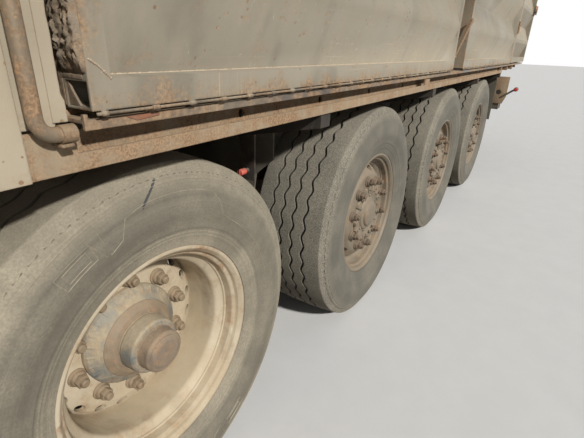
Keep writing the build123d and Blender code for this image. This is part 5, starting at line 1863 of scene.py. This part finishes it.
@dataclass
class BodyWear(Assembly):
    """Seams, torn ends, levers and lamps of the tipping body.

    Attributes:
        outer: Half the body's width.
        panels: The drop sides' names with their rear and front ends.
        frame_low: Height of the side frame's lower edge.
        frame_high: Height of its upper edge.
        member: Width of the CAD's stiles and height of its rails.
        trimmed: The width and height that the photograph shows.
        end: The place of the front panel's open end.
        flakes: How high the crust's flakes stand.
        lumps: How high its lumps stand.
        rim_wear: How much more rust there is on the frame's outer edge.
    """

    outer: float = 1.275
    panels: tuple[tuple[str, float, float], ...] = (("front", -0.642, 1.726),
                                                    ("rear", -3.330, -0.904))
    frame_low: float = 1.170
    frame_high: float = 2.160
    member: Pair = (0.060, 0.058)
    trimmed: Pair = (0.0395, 0.048)
    end: float = 1.726
    flakes: float = 0.0042
    lumps: float = 0.0045
    rim_wear: float = 2.2

    def __post_init__(self) -> None:
        """Make both sides."""
        for side in Side:
            for name, rear, front in self.panels:
                self._panel(side, name, rear, front)
                self._seams(side, name, rear, front)
            self._torn_end(side)
            self._levers(side)
            self._lamp(side)
        mark = Form().plate([(1.662, 1.2664, 1.1545), (1.588, 1.2664, 1.1550),
                             (1.592, 1.2664, 1.1490), (1.640, 1.2664, 1.1455)], (0, 0.0006, 0))
        self.shop.place("rust_mark", mark, "bed", "rust_red")

    def _seams(self, side: Side, name: str, rear: float, front: float) -> None:
        """Mitre welds at the frame's corners and the weld along the sheet's foot.

        Args:
            side: The side of the truck.
            name: The panel's name.
            rear: The panel's rear end.
            front: Its front end.
        """
        wide, tall = self.trimmed
        y, inner = side.value * (self.outer - 0.0003), side.value * 1.2125
        lines = []
        for edge, way in ((front, -1), (rear, 1)):
            for level, rise in ((self.frame_low, 1), (self.frame_high, -1)):
                lines.append([(edge + way * 0.006, y, level + rise * (tall + 0.028)),
                              (edge + way * 0.020, y, level + rise * (tall + 0.019)),
                              (edge + way * wide, y, level + rise * tall)])
        lines.append([(rear + wide, inner, self.frame_low + tall),
                      (front - wide, inner, self.frame_low + tall)])
        weld = self.shop.weld(lines, "body_paint", 0.0024, 0.0036)
        # The welds take the pale seam finish, which is partly a painted highlight.
        self.put(side, f"seams_{name}", weld, f"drop_side_{name}_{side.word}", "seam_rust")

    @staticmethod
    def _bent(value: float, edge: float, old: float, new: float, reach: float = 0.13) -> float:
        """A value's new place when the member at an edge gets narrower and what follows gets wider.

        Args:
            value: The place to move.
            edge: The member's outer edge.
            old: Where its inner edge is, from the outer one, with its sign.
            new: Where its inner edge goes.
            reach: How far from the outer edge anything moves.

        Returns:
            The new place.
        """
        far = (value - edge) * (1 if old > 0 else -1)
        old, new, way = abs(old), abs(new), 1 if old > 0 else -1
        if not 0 < far < reach:
            return value
        if far <= old:
            return edge + way * far * new / old
        return edge + way * (new + (far - old) * (reach - new) / (reach - old))

    def _panel(self, side: Side, name: str, rear: float, front: float) -> None:
        """The drop side with members as narrow as in the photograph, and rust at their edges.

        Args:
            side: The side of the truck.
            name: The panel's name.
            rear: The panel's rear end.
            front: Its front end.
        """
        node = f"drop_side_{name}_{side.word}"
        work = opened(self.shop.frame["nodes"][node].data)
        (wide, tall), (thin, low) = self.member, self.trimmed
        for vert in work.verts:
            if abs(vert.co.y) > 1.2:
                x = self._bent(vert.co.x, front, -wide, -thin)
                vert.co.x = self._bent(x, rear, wide, thin)
                vert.co.z = self._bent(vert.co.z, self.frame_low, tall, low)
        made = poured(node, work)
        marked(made, "wear", [self.rim_wear if self._at_rim(vert.co, rear, front) else 0.0
                              for vert in made.vertices])
        self.shop.place(f"{node}_dressed", made, node, "body_paint", [node])

    def _at_rim(self, spot: Vector, rear: float, front: float) -> bool:
        """Whether a point lies on the side frame's outer edge."""
        away = (spot.x - rear, front - spot.x, spot.z - self.frame_low, self.frame_high - spot.z)
        return abs(spot.y) >= self.outer - 0.003 and min(away) < 0.004

    def _crust(self, side: Side) -> Form:
        """Flaking rust over the front panel's end, as an uneven skin.

        Args:
            side: The side of the truck.

        Returns:
            The form.
        """
        sign, rows, columns = side.value, 230, 19
        form, grid = Form(), []
        for row in range(rows):
            z = 1.224 + (2.135 - 1.224) * row / (rows - 1)
            line = []
            for column in range(columns):
                share = column / (columns - 1)
                spot = Vector((share * 0.055 * 14, z * 14, 3.0 * sign))
                rough = noise.turbulence(spot * 2.6, 5, True, noise_basis="VORONOI_F2F1",
                                         amplitude_scale=0.8)
                lump = noise.fractal(Vector((share * 4.0, z * 70, sign)), 0.6, 2.3, 5)
                lump = max(0.0, lump + 0.2)
                border = column in (0, columns - 1) or row in (0, rows - 1)
                fade = min(1.0, row / 6)
                x, y = self.end - 0.002, 1.2185 + share * 0.0565
                if not border:
                    x = self.end + 0.0008 + fade * (self.flakes * rough + self.lumps * lump)
                    y += 0.0035 * noise.noise(Vector((z * 60, share * 3, sign)))
                line.append(form.work.verts.new((x, sign * y, z)))
            grid.append(line)
        for first, second in zip(grid, grid[1:]):
            for column in range(columns - 1):
                face = (first[column], first[column + 1], second[column + 1], second[column])
                form.work.faces.new(face if sign > 0 else face[::-1])
        return form

    def _torn_end(self, side: Side) -> None:
        """The front panel's end: flaked crust, torn inner flange, and the gusset in the rail.

        Args:
            side: The side of the truck.
        """
        sign, x = side.value, self.end
        flange = Form()
        back = [(x - 0.004, sign * 1.2072, z) for z in self._steps(1.174, 2.155, 2)]
        tear = [(x - 0.004, sign * (1.1990 - 0.0035 * abs(math.sin(z * 31) + math.sin(z * 83))), z)
                for z in self._steps(2.155, 1.176, 70)]
        flange.plate(back + tear, (0.005, 0, 0))
        flange.plate([(x - 0.006, sign * 1.2115, 1.222), (x - 0.006, sign * 1.2240, 1.198),
                      (x - 0.006, sign * 1.2420, 1.1745), (x - 0.006, sign * 1.2115, 1.1745)],
                     (0.004, 0, 0))
        flange.box((x - 0.004, x + 0.001), (sign * 1.2065, sign * 1.262), (1.216, 1.224), 0.0015)
        body = f"drop_side_front_{side.word}"
        self.put(side, "crust", self._crust(side), body, "torn_steel", (), 60)
        self.put(side, "torn_flange", flange, body, "torn_steel")

    @staticmethod
    def _steps(start: float, end: float, count: int) -> list[float]:
        """Evenly spaced values from start to end."""
        return [start + (end - start) * index / (count - 1) for index in range(count)]

    def _levers(self, side: Side) -> None:
        """The middle post's double lever, the hook at its foot and a catch at the rear post.

        Args:
            side: The side of the truck.
        """
        sign = side.value
        lever = Form()
        lever.plate([(-0.851, sign * 1.2110, 1.226), (-0.851, sign * 1.2200, 1.223),
                     (-0.851, sign * 1.3000, 1.462), (-0.851, sign * 1.2900, 1.465)], (0.010, 0, 0),
                    0.002)
        lever.rod((-0.892, sign * 1.218, 1.238), (-0.834, sign * 1.218, 1.238), 0.0095, 12,
                  bevel=0.002)
        lever.rod((-0.888, sign * 1.2895, 1.4535), (-0.838, sign * 1.2895, 1.4535), 0.005, 10)
        hook = Form().rod((-0.68, sign * 1.205, 1.226), (-0.68, sign * 1.262, 1.196), 0.009, 12)
        hook.rod((-0.68, sign * 1.262, 1.196), (-0.68, sign * 1.238, 1.178), 0.009, 12)
        hook.box((-0.70, -0.66), (sign * 1.196, sign * 1.206), (1.20, 1.25), 0.003)
        catch = Form().box((-3.372, -3.350), (sign * 1.272, sign * 1.290), (1.47, 1.49), 0.003)
        catch.rod((-3.361, sign * 1.288, 1.475), (-3.361, sign * 1.286, 1.592), 0.0085, 10,
                  bevel=0.002)
        self.put(side, "post_lever", lever, "bed", "post_paint")
        self.put(side, "post_hook", hook, "bed", "body_paint")
        self.put(side, "rear_catch", catch, "bed", "post_paint")

    def _lamp(self, side: Side) -> None:
        """The amber marker lamp on the body's rear corner.

        Args:
            side: The side of the truck.
        """
        spot = (-4.620, side.value * 1.283, 1.800)
        rows = eased([(0.028, 0), (0.028, 0.030, 0.012), (0.018, 0.0435, 0.004), (0, 0.0445),
                      (0, 0)], 4)
        lens = Form().turned([(side.value * y, radius) for y, radius in rows], spot, 28)
        bezel = Form().turned([(side.value * y, radius) for y, radius in
                               ((-0.002, 0.0436), (-0.002, 0.052), (0.012, 0.052),
                                (0.012, 0.0436))], spot, 28)
        bezel.box((-4.655, -4.585), (spot[1] - side.value * 0.010, spot[1] + side.value * 0.008),
                  (1.728, 1.762), 0.004)
        self.put(side, "marker_lens", lens, "bed", "amber_lens")
        self.put(side, "marker_bezel", bezel, "bed", "dark_trim")


# Underframe

@dataclass
class Underframe(Assembly):
    """What hangs on the frame: fittings, tank straps, flaps, brake parts and the rear lamps.

    Attributes:
        rail: The rails' outer face.
        axles: Places of the driven and trailing axles.
        bar: The place of the underrun bar's rear face.
    """

    rail: float = 0.425
    axles: tuple[float, ...] = (1.556, 0.310, -0.998, -2.306)
    bar: float = -4.060

    def __post_init__(self) -> None:
        """Make what each side carries, then the rear plate."""
        for side in Side:
            self._rail_bolts(side)
            self._cabinet(side)
            self._flaps(side)
            self._brakes(side)
            self._rear_end(side)
        self._tank()
        plate = Form().box((self.bar - 0.003, self.bar + 0.001), (-0.26, 0.26), (0.585, 0.695),
                           0.0012)
        self.shop.place("rear_plate", plate, "root", "blank_plate")

    def _rail_bolts(self, side: Side) -> None:
        """Bolt heads along the rail's web, at the spring hangers and the cross members.

        Args:
            side: The side of the truck.
        """
        spots = [(x + dx, side.value * self.rail, z) for x in (-3.1, -1.652, -0.344, 0.933, 2.5)
                 for dx in (-0.11, -0.04, 0.04, 0.11) for z in (0.78, 0.90)]
        spots += [(x + dx, side.value * self.rail, 0.73)
                  for x in self.axles for dx in (-0.56, -0.50, 0.50, 0.56)]
        bolts = self.shop.bolts(spots, (0, side.value, 0), "frame_paint", 0.013, 0.012)
        self.put(side, "rail_bolts", bolts, "root", "frame_paint")

    def _cabinet(self, side: Side) -> None:
        """Door hinges and rain strip of a cabinet, and the rusty bar beside the pipe.

        Args:
            side: The side of the truck.
        """
        sign = side.value
        fittings = Form()
        for x in (1.8710, 2.6630):
            for z in (1.28, 1.62, 1.96):
                fittings.rod((x, sign * 1.2765, z - 0.035), (x, sign * 1.2765, z + 0.035), 0.0065,
                             10, bevel=0.001)
                fittings.box((x - 0.022, x + 0.022), (sign * 1.2735, sign * 1.2775),
                             (z - 0.03, z + 0.03), 0.001)
        fittings.box((1.836, 2.698), (sign * 1.270, sign * 1.286), (2.078, 2.088), 0.002)
        self.put(side, "cabinet_fittings", fittings, "root", "cabinet_paint")
        torn = []
        for step in range(91):
            z = 1.158 + 0.927 * step / 90
            ragged = 0.0022 * noise.noise(Vector((z * 38, 0, sign)))
            torn.append((1.7648 + ragged - (0.004 if z < 1.19 else 0), sign * 1.2585, z))
        bar = Form().plate([(1.7835, sign * 1.2585, 2.085), (1.7835, sign * 1.2585, 1.158)] + torn,
                           (0, sign * 0.0055, 0))
        self.put(side, "pipe_bar", bar, "root", "cabinet_paint")
        rest = Form().box((1.7740, 1.7930), (sign * 1.2600, sign * 1.2950), (1.1270, 1.1320), 0.001)
        self.put(side, "pipe_rest", rest, "root", "pipe_steel")

    def _flaps(self, side: Side) -> None:
        """The flap between the driven wheel and the next one, a dark sheet that stands in for the
        shade under the frame there, and the ribs of the rear flap.

        Args:
            side: The side of the truck.
        """
        sign = side.value
        # Painted shade: this dark rubber sheet fills the gap under the frame, which lies in shadow.
        outline = ((0.44, 0.60), (0.90, 0.60), (0.925, 0.80), (1.01, 0.87), (1.01, 0.985),
                   (0.44, 0.985))
        flap = Form().plate([(0.8550, sign * y, z) for y, z in outline], (0.0065, 0, 0), 0.002)
        flap.box((0.8515, 0.8645), (sign * 0.44, sign * 1.01), (0.95, 0.995), 0.002)
        self.put(side, "wheel_flap", flap, "root", "flap_rubber")
        rib = Form().box((-2.9535, -2.9495), (sign * 0.900, sign * 0.912), (0.61, 0.99), 0.0012)
        ribs = self.shop.row(rib, "flap_rubber", 8, (0, sign * 0.042, 0))
        self.put(side, "flap_ribs", ribs, "root", "flap_rubber")

    def _brakes(self, side: Side) -> None:
        """Brake chambers, the springs' U-bolt ends, and the red cap behind the driven wheel.

        Args:
            side: The side of the truck.
        """
        sign = side.value
        chambers, caps = Form(), Form()
        rows = [(-0.085, 0.0), (-0.085, 0.060, 0.02), (-0.005, 0.078, 0.01), (-0.005, 0.086),
                (0.007, 0.086), (0.007, 0.078, 0.01), (0.075, 0.066, 0.02), (0.075, 0.0)]
        for x in self.axles:
            chambers.turned(eased(rows, 3), (x - 0.19, sign * 0.70, 0.63), 24)
            chambers.rod((x - 0.19, sign * 0.76, 0.63), (x - 0.19, sign * 0.86, 0.60), 0.010, 10)
            chambers.box((x - 0.22, x - 0.05), (sign * 0.615, sign * 0.640), (0.50, 0.66), 0.004)
        self.put(side, "brake_chambers", chambers, "root", "equipment_paint")
        spots = [(x + dx, sign * (0.52 + dy), 0.6545) for x in self.axles for dx in (-0.075, 0.075)
                 for dy in (-0.048, 0.048)]
        bolts = self.shop.bolts(spots, (0, 0, 1), "axle_iron", 0.014, 0.022)
        self.put(side, "spring_bolts", bolts, "root", "axle_iron")
        holder = Form().box((0.9380, 0.9440), (sign * 0.915, sign * 0.985), (0.80, 1.01), 0.0015)
        holder.rod((0.943, sign * 0.950, 0.8375), (0.962, sign * 0.950, 0.8375), 0.009, 12)
        self.put(side, "line_holder", holder, "root", "frame_paint")
        # The cap takes the red lens finish, so it glows faintly: a painted glow, for it is no lamp.
        caps.rod((0.958, sign * 0.950, 0.8375), (0.990, sign * 0.950, 0.8375), 0.0125, 14,
                 bevel=0.003)
        self.put(side, "line_cap", caps, "root", "red_lens")

    def _rear_end(self, side: Side) -> None:
        """The drilled plate on the underrun bar, the lamp on its rubber arm, and the tail lamps.

        Args:
            side: The side of the truck.
        """
        sign, x = side.value, self.bar + 0.104
        outline = [(x, sign * 1.035, 0.665), (x, sign * 1.215, 0.665), (x, sign * 1.250, 0.760),
                   (x, sign * 1.250, 0.995), (x, sign * 1.035, 0.995)]
        plate = Form().plate(outline, (0.008, 0, 0), 0.001).mesh("plate")
        hole = Form().rod((x - 0.02, sign * 1.150, 0.805), (x + 0.03, sign * 1.150, 0.805), 0.031,
                          24).mesh("hole")
        self.put(side, "rear_bracket", carved(plate, hole), "root", "channel_paint")
        arm = swept("arm", [(x + 0.004, sign * 1.19, 0.745), (x + 0.012, sign * 1.235, 0.775),
                            (x + 0.008, sign * 1.300, 0.828), (x + 0.004, sign * 1.335, 0.848)],
                    0.012)
        self.put(side, "lamp_arm", arm, "root", "flap_rubber")
        head = Form().rod((x - 0.026, sign * 1.345, 0.853), (x + 0.030, sign * 1.345, 0.853), 0.026,
                          20, bevel=0.004)
        self.put(side, "arm_lamp", head, "root", "flap_rubber")
        lens = Form()
        for way, depth in ((-1, -0.026), (1, 0.030)):
            lens.rod((x + depth, sign * 1.345, 0.853),
                     (x + depth + way * 0.008, sign * 1.345, 0.853), 0.021, 20, 0.016)
        self.put(side, "arm_lens", lens, "root", "red_lens")
        back = self.bar - 0.004
        housing = Form().box((back - 0.012, back), (sign * 0.840, sign * 1.170), (0.700, 0.820),
                             0.006)
        self.put(side, "tail_housing", housing, "root", "dark_trim", ["lamps"] if sign > 0 else ())
        for name, low, high, finish in (("amber", 1.085, 1.160, "amber_lens"),
                                        ("red", 0.935, 1.075, "red_lens"),
                                        ("clear", 0.850, 0.925, "lamp_glass")):
            shape = Form().box((back - 0.046, back - 0.008), (sign * low, sign * high),
                               (0.712, 0.808), 0.010)
            self.put(side, f"tail_{name}", shape, "root", finish)

    def _tank(self) -> None:
        """Straps round the fuel tank, its filler cap, and straps on the air tanks."""
        bands, cap = Form(), Form()
        for x in (2.30, 2.66):
            ring = eased([(0.9, 0.3955), (1.1945, 0.3955, 0.072), (1.1945, 0.8545, 0.072),
                          (0.5555, 0.8545, 0.072), (0.5555, 0.3955, 0.072), (0.85, 0.3955)], 5)
            bands.plate([(x - 0.020, y, z) for y, z in ring], (0.040, 0, 0), 0.001)
        for x in (-3.45, -3.15):
            for side in Side:
                bands.rod((x - 0.015, side.value * 0.60, 0.85),
                          (x + 0.015, side.value * 0.60, 0.85), 0.1225, 40)
        self.shop.place("tank_straps", bands, "root", "spring_steel")
        cap.rod((2.74, 1.00, 0.846), (2.74, 1.00, 0.872), 0.050, 32, bevel=0.004)
        cap.rod((2.74, 1.00, 0.868), (2.74, 1.00, 0.884), 0.040, 12, bevel=0.003)
        self.shop.place("tank_cap", cap, "root", "dark_trim")


# Cab

@dataclass
class CabTrim(Assembly):
    """Lamps, wipers, mirror glass, handles, steps and blank plates of the cab and bumper.

    Attributes:
        lamp_y: The headlamp's inner and outer ends.
        lamp_z: Its low and high edges.
        face: The headlamp's front.
        door_face: The door's outer face.
    """

    lamp_y: Pair = (0.800, 1.180)
    lamp_z: Pair = (0.520, 0.700)
    face: float = 4.874
    door_face: float = 1.150

    def __post_init__(self) -> None:
        """Make both sides, then what stands in the middle."""
        for side in Side:
            self._headlamp(side)
            self._mirror_glass(side)
            self._handles(side)
            self._steps(side)
        self._wipers()
        self._roof_lamps()
        plate = Form().box((4.8785, 4.8825), (-0.26, 0.26), (0.475, 0.585), 0.0012)
        self.shop.place("front_plate", plate, "root", "blank_plate")
        ledge = Form().box((4.868, 4.884), (-0.52, 0.52), (0.640, 0.652), 0.003)
        self.shop.place("bumper_ledge", ledge, "root", "dark_trim")
        self._seal()

    def _headlamp(self, side: Side) -> None:
        """A dark housing with two reflectors behind a clear cover.

        Args:
            side: The side of the truck.
        """
        sign, x = side.value, self.face
        (inner, outer), (low, high) = self.lamp_y, self.lamp_z
        case = Form().box((x - 0.052, x - 0.040), (sign * inner, sign * outer), (low, high), 0.003)
        for z in (low + 0.006, high - 0.006):
            case.box((x - 0.050, x), (sign * inner, sign * outer), (z - 0.006, z + 0.006), 0.002)
        for y in (inner + 0.006, outer - 0.006):
            case.box((x - 0.050, x), (sign * (y - 0.006), sign * (y + 0.006)), (low, high), 0.002)
        self.put(side, "headlamp_case", case, "root", "dark_trim")
        bowls = Form()
        middle = (low + high) / 2
        turn = Matrix.Rotation(-math.pi / 2, 4, "Z")
        for y in (0.895, 1.060):
            bowl = eased([(0.000, 0.0), (0.002, 0.026), (0.030, 0.072, 0.02), (0.034, 0.078),
                          (0.028, 0.078), (-0.004, 0.030), (-0.006, 0.0)], 3)
            piece = Form().turned(bowl, (0, 0, 0), 32)
            bmesh.ops.transform(piece.work,
                                matrix=Matrix.Translation((x - 0.040, sign * y, middle)) @ turn,
                                verts=piece.work.verts[:])
            bowls.work.from_mesh(piece.mesh("bowl"))
            bowls.rod((x - 0.040, sign * y, middle), (x - 0.016, sign * y, middle), 0.016, 16,
                      0.012)
        self.put(side, "headlamp_bowls", bowls, "root", "chrome_rod")
        cover = Form().box((x - 0.008, x + 0.001), (sign * (inner + 0.008), sign * (outer - 0.008)),
                           (low + 0.008, high - 0.008), 0.003)
        self.put(side, "headlamp_cover", cover, "root", "lamp_glass")

    def _mirror_glass(self, side: Side) -> None:
        """The mirrors' glasses, facing back.

        Args:
            side: The side of the truck.
        """
        glass = Form()
        for low, high in ((2.152, 2.458), (1.948, 2.092)):
            glass.box((4.4375, 4.4415), (side.value * 1.278, side.value * 1.430), (low, high),
                      0.0015)
        self.put(side, "mirror_glass", glass, f"door_{side.word}", "chrome_rod")

    def _handles(self, side: Side) -> None:
        """A grab rail behind the door, a side lamp and the window's seals.

        Args:
            side: The side of the truck.
        """
        sign, y = side.value, side.value * self.door_face
        rail = swept("rail", [(3.585, y - sign * 0.004, 1.42), (3.585, y + sign * 0.045, 1.42),
                              (3.585, y + sign * 0.045, 1.50), (3.585, y + sign * 0.045, 2.04),
                              (3.585, y + sign * 0.045, 2.12), (3.585, y - sign * 0.004, 2.12)],
                     0.012)
        self.put(side, "grab_rail", rail, "cab", "dark_trim")
        lamp = Form().box((3.30, 3.38), (y - sign * 0.002, y + sign * 0.012), (1.30, 1.335), 0.005)
        self.put(side, "side_lamp", lamp, "cab", "amber_lens")
        window = [(3.735, 1.965), (3.735, 2.695), (4.427, 2.695), (4.529, 2.032), (4.529, 1.965)]
        loop = [(x, y + sign * 0.001, z) for x, z in window]
        seal = swept("seal", loop + loop[:1], 0.008, 2, False)
        self.put(side, "window_seal", seal, f"door_{side.word}", "dark_trim")

    def _steps(self, side: Side) -> None:
        """Raised teeth on both steps.

        Args:
            side: The side of the truck.
        """
        for index, z in enumerate((0.4300, 0.7550)):
            tooth = Form().box((4.200, 4.212), (side.value * 0.915, side.value * 1.150),
                               (z - 0.001, z + 0.006), 0.001)
            teeth = self.shop.row(tooth, "equipment_paint", 9, (0.033, 0, 0))
            self.put(side, f"step_teeth_{index}", teeth, "root", "equipment_paint")

    def _wipers(self) -> None:
        """Three wipers parked along the windscreen's foot."""
        wipers = Form()
        for y in (-0.74, -0.12, 0.50):
            wipers.rod((4.752, y, 1.945), (4.790, y, 1.952), 0.020, 14, bevel=0.003)
            wipers.rod((4.786, y, 1.952), (4.768, y + 0.36, 2.040), 0.0075, 8)
            wipers.box((4.7555, 4.7640), (y + 0.05, y + 0.63), (2.030, 2.048), 0.002)
        self.shop.place("wipers", wipers, "cab", "dark_trim")

    def _roof_lamps(self) -> None:
        """Five amber lamps in a row over the visor."""
        lamp = Form().box((4.330, 4.400), (-0.87, -0.79), (2.925, 2.968), 0.012)
        lamps = self.shop.row(lamp, "amber_lens", 5, (0, 0.415, 0))
        self.shop.place("roof_lamps", lamps, "cab", "amber_lens")

    def _seal(self) -> None:
        """The windscreen's rubber seal."""
        loop = []
        for y, z in ((-1.000, 2.060), (-1.000, 2.000), (-0.930, 1.985), (0.930, 1.985),
                     (1.000, 2.000), (1.000, 2.060), (0.985, 2.660), (0.960, 2.735), (0.880, 2.748),
                     (-0.880, 2.748), (-0.960, 2.735), (-0.985, 2.660)):
            loop.append((4.762 - 0.142 * (z - 1.96) / 0.87 + 0.001, y, z))
        self.shop.place("screen_seal", swept("seal", loop + loop[:1], 0.010, 2, False), "cab",
                        "dark_trim")


@dataclass
class Interior(Assembly):
    """The cab's inside: the CAD's dashboard and tunnel, and padded seats.

    Attributes:
        seat_y: How far each seat stands from the middle.
        floor: Height of the cab's floor.
        voxel: Grain of the cushions' remeshed shells.
        swell: How far a cushion may swell.
        pressure: What blows a cushion up.
        frames: How many frames that takes.
    """

    seat_y: float = 0.690
    floor: float = 1.230
    voxel: float = 0.011
    swell: float = 0.022
    pressure: float = 4.0
    frames: int = 20

    def __post_init__(self) -> None:
        """Set the dashboard, the seats' bases and their cushions."""
        self.shop.place("dashboard", self._without_seats(), "cab", "cab_trim", ["cab_interior"], 30)
        seat = self._stuffed(Form().box((3.520, 4.060), (-0.222, 0.222),
                                        (self.floor + 0.252, self.floor + 0.350), 0.035))
        lean = Matrix.Translation((3.405, 0, self.floor + 0.665)) @ TILT
        shape = Form().box((-0.045, 0.045), (-0.215, 0.215), (-0.290, 0.290), 0.030)
        back = self._stuffed(shape, lean)
        for side in Side:
            move = Matrix.Translation((0, side.value * self.seat_y, 0))
            for name, mesh in (("seat", seat), ("back", back)):
                copy = mesh.copy()
                copy.transform(move)
                piece = self.put(side, f"{name}_cushion", copy, "cab", "seat_cloth", (), 60)
            y = side.value * self.seat_y
            base = Form().box((3.580, 4.040), (y - 0.190, y + 0.190),
                              (self.floor + 0.002, self.floor + 0.215), 0.012)
            base.box((3.545, 4.050), (y - 0.212, y + 0.212),
                     (self.floor + 0.205, self.floor + 0.262), 0.012)
            for aside in (-0.08, 0.08):
                base.rod((3.337, y + aside, self.floor + 0.94),
                         (3.318, y + aside, self.floor + 1.06), 0.006, 10)
            base.box((3.300, 3.345), (y - 0.190, y + 0.190), (self.floor + 0.36, self.floor + 0.93),
                     0.012, TILT)
            self.put(side, "seat_base", base, "cab", "cab_trim")
            rest = self._rounded_rest(y)
            self.put(side, "headrest", rest, "cab", "dark_trim", (), 60)

    def _without_seats(self) -> Mesh:
        """A copy of the CAD interior, merged, without its plain seats.

        Returns:
            The mesh.
        """
        work = opened(self.shop.frame["nodes"]["cab_interior"].data)
        seats = [vert for vert in work.verts if vert.co.x < 4.1 and abs(vert.co.y) > 0.40]
        bmesh.ops.delete(work, geom=seats, context="VERTS")
        return poured("dashboard", work)

    def _rounded_rest(self, y: float) -> Form:
        """A headrest over a back cushion."""
        return Form().box((3.262, 3.352), (y - 0.125, y + 0.125),
                          (self.floor + 1.02, self.floor + 1.20), 0.040, TILT)

    def _stuffed(self, form: Form, place: Optional[Matrix] = None) -> Mesh:
        """Blow a closed shape up like a filled cushion.

        Args:
            form: The slack shape.
            place: Where the cushion goes after it is filled.

        Returns:
            The cushion's mesh.
        """
        holder = linked("cushion", form.mesh("cushion"))
        skin = holder.modifiers.new("skin", "REMESH")
        skin.mode, skin.voxel_size = "VOXEL", self.voxel
        shell = baked(holder)
        start = [vert.co.copy() for vert in shell.vertices]
        holder = linked("cushion", shell)
        cloth = holder.modifiers.new("filling", "CLOTH")
        cloth.settings.use_pressure = True
        cloth.settings.uniform_pressure_force = self.pressure
        cloth.settings.effector_weights.gravity = 0.0
        cloth.point_cache.frame_start, cloth.point_cache.frame_end = 1, self.frames
        for frame in range(1, self.frames + 1):
            bpy.context.scene.frame_set(frame)
        filled = baked(holder)
        for vert, old, new in zip(shell.vertices, start, filled.vertices):
            shift = new.co - old
            vert.co = old + shift * min(1.0, self.swell / max(shift.length, 1e-9))
        bpy.context.scene.frame_set(1)
        if place is not None:
            shell.transform(place)
        return shell


# Studio

@dataclass
class Studio:
    """Floor, light and the photograph's camera.

    Attributes:
        camera: The camera's place.
        yaw: Its turn about Z from -X, in degrees.
        pitch: How far it looks down, in degrees.
        roll: Its turn about its own axis, in degrees.
        focal: Its focal length in pixels of the photograph.
        sun: The direction towards the sun.
        sun_power: Its strength.
        sun_width: Its width in degrees, which softens the shadows.
        sun_colour: Its colour.
        sky: The colour of the light from all round.
        sky_power: How strong that is; the background is seen at full strength.
        floor_seen: The two shades of the floor's grain, as the camera sees it.
        floor_bounce: The floor's colour for the light that it throws up at the truck.
        photo_width: The photograph's width in pixels.
        sensor: The camera's sensor width in millimetres.
    """

    camera: Point = (2.103, 1.884, 1.276)
    yaw: float = 32.133
    pitch: float = 23.116
    roll: float = 2.096
    focal: float = 407.97
    sun: Point = (0.30, 0.77, 0.55)
    sun_power: float = 4.0
    sun_width: float = 3.0
    sun_colour: Point = (1.0, 0.97, 0.915)
    sky: Colour = shade(0.90, 0.95, 1.0)
    sky_power: float = 0.25
    floor_seen: tuple[Colour, Colour] = (grey(0.60), grey(0.68))
    floor_bounce: Colour = shade(0.20, 0.18, 0.15)
    photo_width: int = 584
    sensor: float = 36.0

    def build(self) -> None:
        """Make the floor, the light and the camera."""
        self._floor()
        self._world()
        self._sun()
        self._camera()

    @staticmethod
    def _background(graph: Graph) -> Socket:
        """Where the background is seen straight, in a reflection or through glass.

        Args:
            graph: The tree that is being built.

        Returns:
            The result.
        """
        path = graph.node("ShaderNodeLightPath").outputs
        return graph.math("MAXIMUM",
                          graph.math("MAXIMUM", path["Is Camera Ray"], path["Is Glossy Ray"]),
                          path["Is Transmission Ray"])

    def _floor(self) -> None:
        """A pale floor with a faint grain."""
        mesh = bpy.data.meshes.new("floor")
        mesh.from_pydata([(-60, -60, 0), (60, -60, 0), (60, 60, 0), (-60, 60, 0)], [],
                         [(0, 1, 2, 3)])
        floor = linked("floor", mesh)
        finish = Finish("floor")
        material, graph = finish.start()
        pale = graph.mix(graph.noise(graph.here(), 6.0, 6.0, 0.6), *self.floor_seen)
        colour = graph.mix(self._background(graph), self.floor_bounce, pale)
        mesh.materials.append(finish.end(material, graph, {"Base Color": colour, "Roughness": 0.9}))

    def _world(self) -> None:
        """Even grey light, seen as white."""
        world = bpy.data.worlds.new("studio")
        bpy.context.scene.world = world
        world.use_nodes = True
        graph = Graph(world.node_tree)
        back = world.node_tree.nodes["Background"]
        seen = self._background(graph)
        graph.feed(back.inputs["Color"], graph.mix(seen, self.sky, grey(1.0)))
        graph.feed(back.inputs["Strength"],
                   graph.math("MULTIPLY_ADD", seen, 1.0 - self.sky_power, self.sky_power))

    def _sun(self) -> None:
        """One soft sun from the photograph's side."""
        lamp = bpy.data.lights.new("sun", "SUN")
        lamp.energy, lamp.color = self.sun_power, self.sun_colour
        lamp.angle = math.radians(self.sun_width)
        holder = linked("sun", lamp)
        holder.rotation_euler = Vector(self.sun).to_track_quat("Z", "Y").to_euler()

    def _camera(self) -> None:
        """The camera at the photograph's viewing angle."""
        yaw, pitch, roll = (math.radians(value) for value in (self.yaw, self.pitch, self.roll))
        forward = Vector((-math.cos(yaw) * math.cos(pitch), -math.sin(yaw) * math.cos(pitch),
                          -math.sin(pitch)))
        level = forward.cross(Vector((0, 0, 1))).normalized()
        over = level.cross(forward)
        right = level * math.cos(roll) + over * math.sin(roll)
        up = over * math.cos(roll) - level * math.sin(roll)
        data = bpy.data.cameras.new("camera")
        data.sensor_fit, data.sensor_width = "HORIZONTAL", self.sensor
        data.lens, data.clip_end = self.focal * self.sensor / self.photo_width, 300.0
        holder = linked("camera", data)
        turn = Matrix((right, up, -forward)).transposed().to_4x4()
        holder.matrix_world = Matrix.Translation(self.camera) @ turn
        bpy.context.scene.camera = holder


def main() -> None:
    """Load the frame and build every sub-assembly."""
    logging.basicConfig(level=logging.INFO, format="%(name)s: %(message)s")
    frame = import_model()
    bpy.context.scene.view_settings.view_transform = "Standard"
    Studio().build()
    shop = Shop(frame)
    for assembly in (Wheels, BodyWear, Underframe, CabTrim, Interior):
        assembly(shop)
        LOG.info("%s done", assembly.__name__)
    LOG.info("placed %d pieces", shop.count)


if __name__ == "__main__":
    main()
